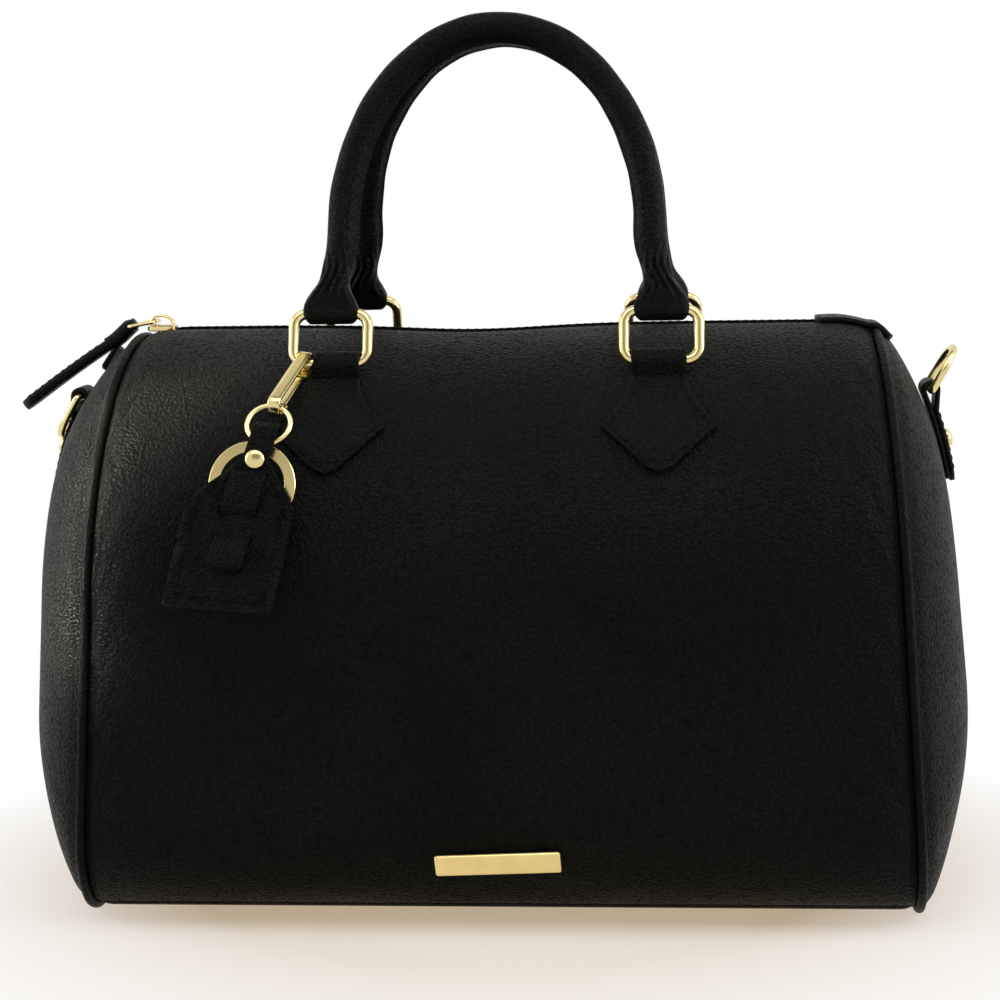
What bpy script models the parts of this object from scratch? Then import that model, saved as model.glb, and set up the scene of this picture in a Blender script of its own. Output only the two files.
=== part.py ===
"""A soft barrel bag: rolled handles on rings, a zip top, side rings and a hanging tag.

Metres. +X is to the right in the front view, -Y towards the front and +Z up. The origin is at
the middle of the flat underside. Moving pieces have their origin on their joint's axis.
"""
import math

import bmesh
import bpy
import numpy as np
from mathutils import Matrix, Vector

# Barrel
BODY_HEIGHT = 0.208
BODY_DEPTH = 0.172
CORNER_RADIUS = 0.042
SEAM_HALF_BASE = 0.1485
SEAM_TAPER = 0.0125
END_BULGE_LEFT = 0.027
END_BULGE_RIGHT = 0.021
END_ROUNDNESS = 3.0
END_CENTRE_HEIGHT = 0.105
LEATHER = 0.0021
LINING_THICKNESS = 0.0008
CLEARANCE = 0.0003
BASE_SEAM_ANGLE = 28.0

# Piping round both ends
PIPING_RADIUS = 0.0017
PIPING_INSET = 0.0004
END_PANEL_GAP = 0.0011
END_PANEL_INSET = 0.0010

# Stiffening board that lies on the lining's floor
BOARD_THICKNESS = 0.002
BOARD_LENGTH = 0.284
BOARD_WIDTH = 0.084
BOARD_CORNER = 0.012

# Zip top: two leaves between the front and back panels, and a fixed stretch at each end
ZIP_HINGE_Y = 0.0305
ZIP_BAND_INNER_Y = 0.008
ZIP_BAND_THICKNESS = 0.0018
ZIP_LEAF_LEFT = -0.1195
ZIP_LEAF_RIGHT = 0.100
ZIP_BRIDGE_RIGHT = 0.0200
TAPE_OUTER_Y = 0.013
TAPE_INNER_Y = 0.0036
TAPE_THICKNESS = 0.0006
TOOTH_PITCH = 0.003
TOOTH_START = 0.0004
TOOTH_WIDTH = 0.0011
TOOTH_REACH = 0.0010
TOOTH_THICKNESS = 0.0024
TOOTH_SPINE = 0.0013

# Slider, its link and the leather puller
SLIDER_X = -0.1284
SLIDER_LENGTH = 0.0110
SLIDER_HALF_WIDTH = 0.0048
SLIDER_PLATE = 0.0013
SLIDER_FLANGE = 0.0007
LUG_HEIGHT = 0.0042
LUG_LENGTH = 0.0066
LUG_WIDTH = 0.0022
LUG_OFFSET = 0.0022
LUG_ROUND = 0.0016
LUG_HOLE_RISE = 0.0024
LINK_WIRE = 0.0014
LINK_LENGTH = 0.0102
LINK_WIDTH = 0.0128
LINK_CORNER = 0.0016
PULLER_LENGTH = 0.050
PULLER_WIDTH = 0.0105
PULLER_THICKNESS = 0.0036
PULLER_EYE_WALL = 0.0012
PULLER_END_CUT = 0.0010
PULLER_EDGE = 0.0004
PULLER_DROOP = 36.0
LINK_RISE = 6.0
SINK = 0.0003

# Leather tabs that close the zip's two ends
END_TAB_RIGHT_START = 0.1140
END_TAB_RIGHT_WIDTH = 0.022
END_TAB_RIGHT_THICKNESS = 0.0032
END_TAB_RIGHT_CORNER = 0.0030
END_TAB_RIGHT_EDGE = 0.0008
END_TAB_LEFT_BELOW_TOP = 0.0065
END_TAB_LEFT_HEIGHT = 0.0095
END_TAB_LEFT_TOP = BODY_HEIGHT - END_TAB_LEFT_BELOW_TOP
END_TAB_LEFT_FOOT = END_TAB_LEFT_TOP - END_TAB_LEFT_HEIGHT
END_TAB_LEFT_WIDTH = 0.014

# Handle rings and the kite-shaped tabs that hold them
RING_HALF_SPACING = 0.0585
TAB_HALF_SPACING = 0.0575
RING_WIRE = 0.0034
RING_WIDTH = 0.0264
RING_HEIGHT = 0.0184
RING_CORNER = 0.0026
RING_SEAT_ANGLE = 57.0
RING_LEAN = 20.0
TAB_THICKNESS = 0.0018
TAB_LOOP_WIDTH = 0.014
TAB_NECK_WIDTH = 0.020
TAB_CORNER_WIDTH = 0.041
TAB_TIP_WIDTH = 0.006
TAB_TIP_ANGLE = 27.3
TAB_CORNER_ANGLE = 39.0
TAB_NECK_ANGLE = 53.0
TAB_LIFT_ANGLE = 49.5

# Rolled handles
HANDLE_RADIUS = 0.0052
HANDLE_LEAN = 15.9
HANDLE_HEIGHT = 0.1048
ARCH_HALF_WIDTH = 0.055
ARCH_RISE = 0.074
FLARE_WIDTH = 0.0204
FLARE_HEIGHT = 0.022
FLARE_WALL = 0.0018

# Bare metal plate low on the front
PLATE_LENGTH = 0.044
PLATE_HEIGHT = 0.0085
PLATE_THICKNESS = 0.0012
PLATE_CORNER = 0.0008
PLATE_X = 0.0007
PLATE_CORNER_ANGLE = 68.0
PLATE_TILT = 2.3

# Side tabs with D-rings on both ends
SIDE_LOOP_BELOW_TOP = 0.027
SIDE_LOOP_HEIGHT = BODY_HEIGHT - SIDE_LOOP_BELOW_TOP
SIDE_TAB_DROP = 0.033
SIDE_TAB_WIDTH = 0.014
SIDE_LIFT_DROP = 0.0075
SIDE_STUD_DROP = 0.018
SIDE_STUD_RADIUS = 0.0034
SIDE_RING_WIRE = 0.0028
SIDE_RING_WIDTH = 0.0200
SIDE_RING_DROP = 0.0170
SIDE_RING_RIGHT_ANGLE = 30.0

# Hanging tag on the front left ring: clip, round ring, flat ring and leather tag
TAG_TILT = 13.5
CLIP_X = -0.0676
CLIP_TILT = 14.5
CLIP_PITCH = 3.5
CLIP_LENGTH = 0.0337
CLIP_WIDTH = 0.0034
CLIP_STRIP = 0.0012
CLIP_EDGE = 0.0003
CLIP_HOOK = 0.0023
CLIP_BACK = -0.0020
CLIP_FRONT = 0.0026
GATE_LENGTH = 0.017
GATE_TIP = 0.005
SMALL_RING_DIAMETER = 0.0150
SMALL_RING_WIRE = 0.0020
FLAT_RING_OUTER = 0.030
FLAT_RING_BAND = 0.0038
FLAT_RING_THICKNESS = 0.0014
TAG_WIDTH = 0.039
TAG_SHOULDER = 0.0114
TAG_FOOT = -0.0257
TAG_CORNER_CUT = 0.0015
TAG_APEX = 0.0270
TAG_STRAP_WIDTH = 0.009
TAG_BACK_TOP = 0.0215
TAG_BACK_TOP_WIDTH = 0.018
TAG_FOLD_TOP = 0.0402
TAG_RIVET = 0.027
TAG_RING_SEAT = 0.0334
FLAT_RING_CENTRE = 0.0182
SLOT_HEIGHT = 0.0032
TAG_BACK_LAYER = 0.0005
TAG_LEATHER = 0.0012
TAG_BACK_THICKNESS = 0.0010
POCKET_STRAP_WIDTH = 0.013
POCKET_STRAP_THICKNESS = 0.0010
SLOT_UPPER = 0.0088
SLOT_LOWER = -0.0016
POCKET_STRAP_TOP = 0.0230
POCKET_STRAP_FOOT = -0.0120
RIVET_RADIUS = 0.0034
RIVET_SHANK = 0.0013

# Facets
CORNER_STEPS = 6
SIDE_STEPS = 2
DOME_STEPS = 12
END_RINGS = 5

BARREL_RADIUS = BODY_DEPTH / 2
DOME_CENTRE_Z = BODY_HEIGHT - BARREL_RADIUS
FLOOR_HALF = BARREL_RADIUS - CORNER_RADIUS

BLACK_LEATHER = ("black_leather", (0.012, 0.012, 0.013), 0.42, 0.0)
LINING_CLOTH = ("lining_cloth", (0.055, 0.045, 0.038), 0.85, 0.0)
ZIP_TAPE = ("zip_tape", (0.010, 0.010, 0.011), 0.8, 0.0)
GOLD = ("pale_gold", (0.86, 0.70, 0.42), 0.2, 1.0)
BOARD = ("board", (0.05, 0.045, 0.04), 0.8, 0.0)


def clear_scene():
    """Remove every object that the start-up scene holds."""
    for obj in list(bpy.data.objects):
        bpy.data.objects.remove(obj, do_unlink=True)


def new_collection(name):
    """Make a collection in the scene."""
    collection = bpy.data.collections.new(name)
    bpy.context.scene.collection.children.link(collection)
    return collection


def finish(obj, look):
    """Give an object its own material and shade its round faces smooth."""
    name, colour, roughness, metallic = look
    material = bpy.data.materials.new(obj.name + "_" + name)
    material.use_nodes = True
    shader = material.node_tree.nodes["Principled BSDF"]
    shader.inputs["Base Color"].default_value = (*colour, 1.0)
    shader.inputs["Roughness"].default_value = roughness
    shader.inputs["Metallic"].default_value = metallic
    obj.data.materials.clear()
    obj.data.materials.append(material)
    if obj.type == "MESH":
        obj.data.shade_smooth()
        obj.data.set_sharp_from_angle(angle=math.radians(35))
    return obj


def mesh_object(name, mesh, look, collection):
    """Link a mesh as a named object."""
    obj = bpy.data.objects.new(name, mesh)
    collection.objects.link(obj)
    return finish(obj, look)


def bmesh_to_mesh(name, bm):
    """Write a bmesh out with its faces turned outwards."""
    mesh = bpy.data.meshes.new(name)
    bm.to_mesh(mesh)
    bm.free()
    return mesh


def move_origin(obj, point):
    """Put an object's origin on a point without moving its surface."""
    obj.data.transform(Matrix.Translation(-Vector(point)))
    obj.location = Vector(point)
    return obj


def thicken(obj, thickness, offset):
    """Give an open sheet its thickness."""
    modifier = obj.modifiers.new("Thickness", "SOLIDIFY")
    modifier.thickness = thickness
    modifier.offset = offset
    modifier.use_even_offset = True
    return obj


def boolean(obj, tool, operation):
    """Cut or join with another object, which becomes a hidden wire guide."""
    modifier = obj.modifiers.new(tool.name, "BOOLEAN")
    modifier.operation = operation
    modifier.solver = "EXACT"
    modifier.object = tool
    tool.hide_render = True
    tool.display_type = "WIRE"
    return obj


def round_edges(obj, width, segments=2):
    """Round an object's sharp edges."""
    modifier = obj.modifiers.new("Rounding", "BEVEL")
    modifier.width = width
    modifier.segments = segments
    modifier.limit_method = "ANGLE"
    modifier.angle_limit = math.radians(40)
    return obj


def half_length(height):
    """Distance from the middle to the end seam at a height: the seams lean inwards."""
    return SEAM_HALF_BASE - SEAM_TAPER * height / BODY_HEIGHT


def zip_fixed_end():
    """Distance from the middle to where the zip's fixed stretches meet the end piping."""
    return half_length(BODY_HEIGHT) - PIPING_RADIUS - CLEARANCE


def section_point(station, inset=0.0):
    """Point (y, z) on the barrel's cross-section, a distance inside its surface.

    Stations run 0 to 1 over the flat floor, 1 to 2 round the bottom corner, 2 to 3 up the side
    and 3 to 4 over the dome to the top. Negative stations are on the front, and those past 4
    go on down the front.
    """
    if station > 4:
        station -= 8
    side = -1.0 if station < 0 else 1.0
    u = abs(station)
    if u <= 1:
        return side * FLOOR_HALF * u, inset
    if u <= 2:
        angle = math.radians(90 * (u - 1))
        radius = CORNER_RADIUS - inset
        return side * (FLOOR_HALF + radius * math.sin(angle)), CORNER_RADIUS - radius * math.cos(angle)
    if u <= 3:
        height = CORNER_RADIUS + (DOME_CENTRE_Z - CORNER_RADIUS) * (u - 2)
        return side * (BARREL_RADIUS - inset), height
    angle = math.radians(90 * (u - 3))
    radius = BARREL_RADIUS - inset
    return side * radius * math.cos(angle), DOME_CENTRE_Z + radius * math.sin(angle)


def dome_station(angle):
    """Station on the dome at an angle above the horizontal."""
    return 3 + angle / 90


def dome_station_at_y(y):
    """Station on the dome at a distance from its middle line."""
    return dome_station(math.degrees(math.acos(y / BARREL_RADIUS)))


def break_stations():
    """The stations at which every layer of the barrel has its creases."""
    steps = [0.0]
    steps += [1 + i / CORNER_STEPS for i in range(CORNER_STEPS)]
    steps += [2 + i / SIDE_STEPS for i in range(SIDE_STEPS)]
    steps += [3 + i / DOME_STEPS for i in range(DOME_STEPS + 1)]
    return sorted(set([-s for s in steps] + steps))


def stations_between(start, end):
    """The creases between two stations, with the two ends."""
    steps = break_stations()
    steps += [s + 8 for s in steps if -4 < s < 0]
    inner = [s for s in steps if start + 0.01 < s < end - 0.01]
    return [start] + inner + [end]


def wrapped_sheet(name, rows, look, collection):
    """A sheet one face wide: a grid whose rows are pairs of end points."""
    bm = bmesh.new()
    last = len(rows) - 1
    bmesh.ops.create_grid(bm, x_segments=1, y_segments=last, size=1.0)
    for vertex in bm.verts:
        row = rows[round((vertex.co.y + 1) / 2 * last)]
        vertex.co = Vector(row[0] if vertex.co.x < 0 else row[1])
    return mesh_object(name, bmesh_to_mesh(name, bm), look, collection)


def barrel_strip(name, start, end, inset, thickness, left, right, look, collection):
    """A panel of the barrel between two stations; left and right give its ends at a height."""
    rows = []
    for station in reversed(stations_between(start, end)):
        y, z = section_point(station, inset)
        rows.append(((left(z), y, z), (right(z), y, z)))
    sheet = wrapped_sheet(name, rows, look, collection)
    return thicken(sheet, thickness, -1)


def loft_mesh(name, rings, skip=None, pole_start=None, pole_end=None):
    """Closed rings of points joined one to the next, with a pole or an ngon at either end."""
    bm = bmesh.new()
    loops = [[bm.verts.new(p) for p in ring] for ring in rings]
    for i in range(len(loops) - 1):
        count = len(loops[i])
        for j in range(count):
            if skip and skip(i, j):
                continue
            k = (j + 1) % count
            bm.faces.new((loops[i][j], loops[i][k], loops[i + 1][k], loops[i + 1][j]))
    for pole, loop, flip in ((pole_start, loops[0], True), (pole_end, loops[-1], False)):
        if pole is None:
            continue
        tip = bm.verts.new(pole)
        for j in range(len(loop)):
            k = (j + 1) % len(loop)
            corners = (loop[j], loop[k], tip)
            bm.faces.new(reversed(corners) if flip else corners)
    bmesh.ops.recalc_face_normals(bm, faces=bm.faces)
    return bmesh_to_mesh(name, bm)


def end_ring(share, side, offset, bulge, inset):
    """One closed ring of an end panel; share runs from 0 at its middle to 1 at the seam."""
    ring = []
    rise = bulge * (1 - share ** END_ROUNDNESS)
    for station in break_stations()[:-1]:
        y, z = section_point(station, inset)
        y *= share
        z = END_CENTRE_HEIGHT + (z - END_CENTRE_HEIGHT) * share
        ring.append((side * (half_length(z) + offset + rise), y, z))
    return ring


def end_shares():
    """Where an end panel has its rings, from the seam to near its middle, closer at the seam."""
    return [1 - (i / END_RINGS) ** 1.4 for i in range(END_RINGS)]


def end_pole(side, offset, bulge):
    """The middle point of an end panel."""
    return side * (half_length(END_CENTRE_HEIGHT) + offset + bulge), 0.0, END_CENTRE_HEIGHT


def end_surface_x(height, bulge):
    """How far out the end panel's surface lies on its middle line, above its centre."""
    top = BODY_HEIGHT - END_PANEL_INSET
    share = (height - END_CENTRE_HEIGHT) / (top - END_CENTRE_HEIGHT)
    rise = bulge * (1 - share ** END_ROUNDNESS)
    return half_length(height) + PIPING_RADIUS + END_PANEL_GAP + rise


def tube(name, points, radius, look, collection, cyclic=False, resolution=2):
    """A wire or tube along a line of points, as a mesh with welded caps."""
    curve = bpy.data.curves.new(name, "CURVE")
    curve.dimensions = "3D"
    curve.bevel_depth = radius
    curve.bevel_resolution = resolution
    curve.use_fill_caps = not cyclic
    spline = curve.splines.new("POLY")
    spline.points.add(len(points) - 1)
    for target, point in zip(spline.points, points):
        target.co = (*point, 1.0)
    spline.use_cyclic_u = cyclic
    obj = bpy.data.objects.new(name, curve)
    collection.objects.link(obj)
    return finish(obj, look)


def as_mesh(obj, look, collection):
    """Turn a curve object into a mesh object under the same name."""
    depsgraph = bpy.context.evaluated_depsgraph_get()
    mesh = bpy.data.meshes.new_from_object(obj.evaluated_get(depsgraph))
    matrix = obj.matrix_world.copy()
    name = obj.name
    bpy.data.objects.remove(obj, do_unlink=True)
    bm = bmesh.new()
    bm.from_mesh(mesh)
    bmesh.ops.remove_doubles(bm, verts=bm.verts, dist=0.00001)
    bm.to_mesh(mesh)
    bm.free()
    made = mesh_object(name, mesh, look, collection)
    made.matrix_world = matrix
    return made


def flat_plate(name, outlines, thickness, look, collection):
    """A flat outline, with any holes as further outlines, lying in XY about z = 0."""
    curve = bpy.data.curves.new(name, "CURVE")
    curve.dimensions = "2D"
    curve.fill_mode = "BOTH"
    curve.extrude = thickness / 2
    for outline in outlines:
        spline = curve.splines.new("POLY")
        spline.points.add(len(outline) - 1)
        for target, point in zip(spline.points, outline):
            target.co = (point[0], point[1], 0.0, 1.0)
        spline.use_cyclic_u = True
    obj = bpy.data.objects.new(name, curve)
    collection.objects.link(obj)
    bpy.context.view_layer.update()
    return as_mesh(obj, look, collection)


def box(name, size, centre, look, collection):
    """A box of a size about a centre."""
    bm = bmesh.new()
    bmesh.ops.create_cube(bm, size=1.0)
    bmesh.ops.scale(bm, vec=Vector(size), verts=bm.verts)
    bmesh.ops.translate(bm, vec=Vector(centre), verts=bm.verts)
    return mesh_object(name, bmesh_to_mesh(name, bm), look, collection)


def rod(name, radius, length, axis, look, collection, sides=12):
    """A cylinder about the origin along the X, Y or Z axis."""
    bm = bmesh.new()
    bmesh.ops.create_cone(
        bm, cap_ends=True, segments=sides, radius1=radius, radius2=radius, depth=length
    )
    turn = {"X": Matrix.Rotation(math.pi / 2, 4, "Y"), "Y": Matrix.Rotation(math.pi / 2, 4, "X"),
            "Z": Matrix.Identity(4)}[axis]
    bmesh.ops.transform(bm, matrix=turn, verts=bm.verts)
    return mesh_object(name, bmesh_to_mesh(name, bm), look, collection)


def turned(name, profile, look, collection, steps=16):
    """A turned shape: a profile of (radius, height) points, top to bottom, screwed round Z."""
    mesh = bpy.data.meshes.new(name)
    points = [(r, 0.0, z) for r, z in profile]
    mesh.from_pydata(points, [(i, i + 1) for i in range(len(points) - 1)], [])
    obj = bpy.data.objects.new(name, mesh)
    collection.objects.link(obj)
    screw = obj.modifiers.new("Turn", "SCREW")
    screw.steps = steps
    screw.render_steps = steps
    screw.use_merge_vertices = True
    screw.merge_threshold = 0.00005
    screw.use_smooth_shade = True
    finish(obj, look)
    return obj


def arc(centre, radius, start, end, steps):
    """Points on an arc between two angles in degrees."""
    angles = np.radians(np.linspace(start, end, steps + 1))
    return [(centre[0] + radius * math.cos(a), centre[1] + radius * math.sin(a)) for a in angles]


def rounded_rectangle(width, height, radius, steps=3):
    """Corner arcs of a rectangle about the origin, going round anticlockwise."""
    w = width / 2 - radius
    h = height / 2 - radius
    points = []
    for cx, cy, start in ((w, h, 0), (-w, h, 90), (-w, -h, 180), (w, -h, 270)):
        points += arc((cx, cy), radius, start, start + 90, steps)
    return points


def hooked_path(surface, centre, radius, turn, steps):
    """A strap's middle line in a plane: along a surface, then over and round a bar.

    surface runs up to where the strap lifts off, centre is the bar's axis, and turn is how far
    round the bar the strap goes, in degrees, positive anticlockwise.
    """
    lift = surface[-1]
    dx = lift[0] - centre[0]
    dy = lift[1] - centre[1]
    distance = math.hypot(dx, dy)
    sign = 1 if turn > 0 else -1
    start = math.degrees(math.atan2(dy, dx)) + sign * math.degrees(math.acos(radius / distance))
    return surface + arc(centre, radius, start, start + turn, steps)


def ribbon(name, path, half_widths, thickness, place, look, collection):
    """A strap along a path, as wide as half_widths says; place turns (across, a, b) to space."""
    rows = [
        (place(-w, a, b), place(w, a, b)) for (a, b), w in zip(path, half_widths)
    ]
    sheet = wrapped_sheet(name, rows, look, collection)
    return thicken(sheet, thickness, 0)


def build_shell(parts):
    """Front, back, base and end panels, their piping, the lining and the base board."""
    panel_end = PIPING_RADIUS + CLEARANCE
    seam_gap = CLEARANCE / 2 / CORNER_RADIUS * (180 / math.pi) / 90
    base_seam = 1 + BASE_SEAM_ANGLE / 90
    band_seam = dome_station_at_y(ZIP_HINGE_Y + CLEARANCE / 2)

    def left(z):
        return -(half_length(z) - panel_end)

    def right(z):
        return half_length(z) - panel_end

    barrel_strip("base_panel", -(base_seam - seam_gap), base_seam - seam_gap, 0.0, LEATHER,
                 left, right, BLACK_LEATHER, parts)
    barrel_strip("front_panel", -band_seam, -(base_seam + seam_gap), 0.0, LEATHER,
                 left, right, BLACK_LEATHER, parts)
    barrel_strip("back_panel", base_seam + seam_gap, band_seam, 0.0, LEATHER,
                 left, right, BLACK_LEATHER, parts)
    for side, label, bulge in ((-1, "left", END_BULGE_LEFT), (1, "right", END_BULGE_RIGHT)):
        offset = PIPING_RADIUS + END_PANEL_GAP
        rings = [end_ring(s, side, offset, bulge, END_PANEL_INSET) for s in end_shares()]
        mesh = loft_mesh("end_panel_" + label, rings, pole_end=end_pole(side, offset, bulge))
        panel = mesh_object("end_panel_" + label, mesh, BLACK_LEATHER, parts)
        outward = panel.data.polygons[-1].normal.x * side > 0
        thicken(panel, LEATHER, -1 if outward else 1)
        line = []
        for station in break_stations()[:-1]:
            y, z = section_point(station, PIPING_INSET)
            line.append((side * half_length(z), y, z))
        tube("piping_" + label, line, PIPING_RADIUS, BLACK_LEATHER, parts, cyclic=True, resolution=1)
    build_lining(parts, band_seam)
    floor = LEATHER + CLEARANCE + LINING_THICKNESS + CLEARANCE
    outline = rounded_rectangle(BOARD_LENGTH, BOARD_WIDTH, BOARD_CORNER, 4)
    board = flat_plate("base_board", [outline], BOARD_THICKNESS, BOARD, parts)
    board.location.z = floor + BOARD_THICKNESS / 2


def build_lining(parts, band_seam):
    """One cloth bag inside the leather, open at the mouth between the zip leaves' seams."""
    inset = LEATHER + CLEARANCE
    offset = -PIPING_INSET - CLEARANCE
    shares = end_shares()
    rings = []
    for share in reversed(shares):
        rings.append(end_ring(share, -1, offset, END_BULGE_LEFT, inset))
    for share in shares:
        rings.append(end_ring(share, 1, offset, END_BULGE_RIGHT, inset))
    stations = break_stations()[:-1]
    limit = math.floor((band_seam - 3) * DOME_STEPS) / DOME_STEPS + 3
    middle = len(shares) - 1

    def in_mouth(ring, column):
        if ring != middle:
            return False
        start = stations[column]
        return start < -limit + 0.001 - 1 / DOME_STEPS or start > limit - 0.001

    mesh = loft_mesh("lining", rings, skip=in_mouth,
                     pole_start=end_pole(-1, offset, END_BULGE_LEFT),
                     pole_end=end_pole(1, offset, END_BULGE_RIGHT))
    lining = mesh_object("lining", mesh, LINING_CLOTH, parts)
    thicken(lining, LINING_THICKNESS, -1 if lining.data.polygons[-1].normal.x > 0 else 1)


def tooth_outline(first, last, shift):
    """Comb of one zip row in XY: a spine with a tooth at each pitch, pointing to +Y."""
    root = -(TAPE_INNER_Y - CLEARANCE)
    base = root + TOOTH_SPINE
    points = [(last, base), (last, root), (first, root), (first, base)]
    count = int((last - first - shift - TOOTH_WIDTH) // TOOTH_PITCH) + 1
    for i in range(count):
        x = first + shift + i * TOOTH_PITCH
        points += [(x, base), (x, TOOTH_REACH), (x + TOOTH_WIDTH, TOOTH_REACH)]
        points += [(x + TOOTH_WIDTH, base)]
    return points


def build_zip(parts, cutters):
    """Two zip leaves that hinge at their outer edges, and the fixed stretch at each end."""
    band_outer = dome_station_at_y(ZIP_HINGE_Y - CLEARANCE / 2)
    band_inner = dome_station_at_y(ZIP_BAND_INNER_Y)
    tape_outer = dome_station_at_y(TAPE_OUTER_Y)
    tape_inner = dome_station_at_y(TAPE_INNER_Y)
    tape_inset = ZIP_BAND_THICKNESS + CLEARANCE
    tooth_z = BODY_HEIGHT - tape_inset - TAPE_THICKNESS / 2
    hinge_z = section_point(dome_station_at_y(ZIP_HINGE_Y))[1]

    def leaf_left(z):
        return ZIP_LEAF_LEFT

    def leaf_right(z):
        return ZIP_LEAF_RIGHT

    for side, label in ((-1, "front"), (1, "rear")):
        hinge = (0.0, side * ZIP_HINGE_Y, hinge_z)
        for piece, outer, inner, inset, thickness, look in (
            ("zip_band_", band_outer, band_inner, 0.0, ZIP_BAND_THICKNESS, BLACK_LEATHER),
            ("zip_tape_", tape_outer, tape_inner, tape_inset, TAPE_THICKNESS, ZIP_TAPE),
        ):
            low, high = (outer, inner) if side > 0 else (-inner, -outer)
            strip = barrel_strip(piece + label, low, high, inset, thickness,
                                 leaf_left, leaf_right, look, parts)
            move_origin(strip, hinge)
        shift = TOOTH_START if side < 0 else TOOTH_START + TOOTH_PITCH / 2
        outline = tooth_outline(ZIP_LEAF_LEFT, ZIP_LEAF_RIGHT, shift)
        teeth = flat_plate("zip_teeth_" + label, [outline], TOOTH_THICKNESS, GOLD, parts)
        if side > 0:
            teeth.data.transform(Matrix.Scale(-1, 4, (0, 1, 0)))
            teeth.data.flip_normals()
        teeth.data.transform(Matrix.Translation((0.0, 0.0, tooth_z)))
        move_origin(teeth, hinge)
    fixed_end = zip_fixed_end()
    left_end = ZIP_LEAF_LEFT - CLEARANCE
    right_end = ZIP_LEAF_RIGHT + CLEARANCE
    for side, label in ((-1, "front"), (1, "rear")):
        low, high = (band_outer, band_inner) if side > 0 else (-band_inner, -band_outer)
        barrel_strip("zip_end_band_left_" + label, low, high, 0.0, ZIP_BAND_THICKNESS,
                     lambda z: -fixed_end, lambda z: left_end, BLACK_LEATHER, parts)
    band = barrel_strip("zip_end_band_right", band_outer, 8 - band_outer, 0.0, ZIP_BAND_THICKNESS,
                        lambda z: right_end, lambda z: fixed_end, BLACK_LEATHER, parts)
    open_length = fixed_end - ZIP_BRIDGE_RIGHT - right_end
    slot = box("zip_channel_right", (2 * open_length, 2 * ZIP_BAND_INNER_Y, 6 * ZIP_BAND_THICKNESS),
               (right_end, 0.0, BODY_HEIGHT), BLACK_LEATHER, cutters)
    boolean(band, slot, "DIFFERENCE")
    under_teeth = tape_inset + (TAPE_THICKNESS + TOOTH_THICKNESS) / 2 + CLEARANCE
    for label, start, end in (("left", -fixed_end, left_end), ("right", right_end, fixed_end)):
        barrel_strip("zip_end_tape_" + label, tape_outer, 8 - tape_outer, under_teeth,
                     TAPE_THICKNESS, lambda z, x=start: x, lambda z, x=end: x, ZIP_TAPE, parts)


def double_comb(start, end):
    """Outline of a closed stretch of chain in XY: a spine with teeth out to both sides in turn."""
    reach = TAPE_INNER_Y - CLEARANCE
    spine = TOOTH_REACH
    near = [(start, -spine)]
    far = [(end, spine)]
    count = int((end - start - TOOTH_PITCH) // TOOTH_PITCH) + 1
    for i in range(count):
        x = start + TOOTH_START + i * TOOTH_PITCH
        near += [(x, -spine), (x, -reach), (x + TOOTH_WIDTH, -reach), (x + TOOTH_WIDTH, -spine)]
        x = end - TOOTH_START - i * TOOTH_PITCH
        far += [(x, spine), (x, reach), (x - TOOTH_WIDTH, reach), (x - TOOTH_WIDTH, spine)]
    return near + [(end, -spine)] + far + [(start, spine)]


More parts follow.
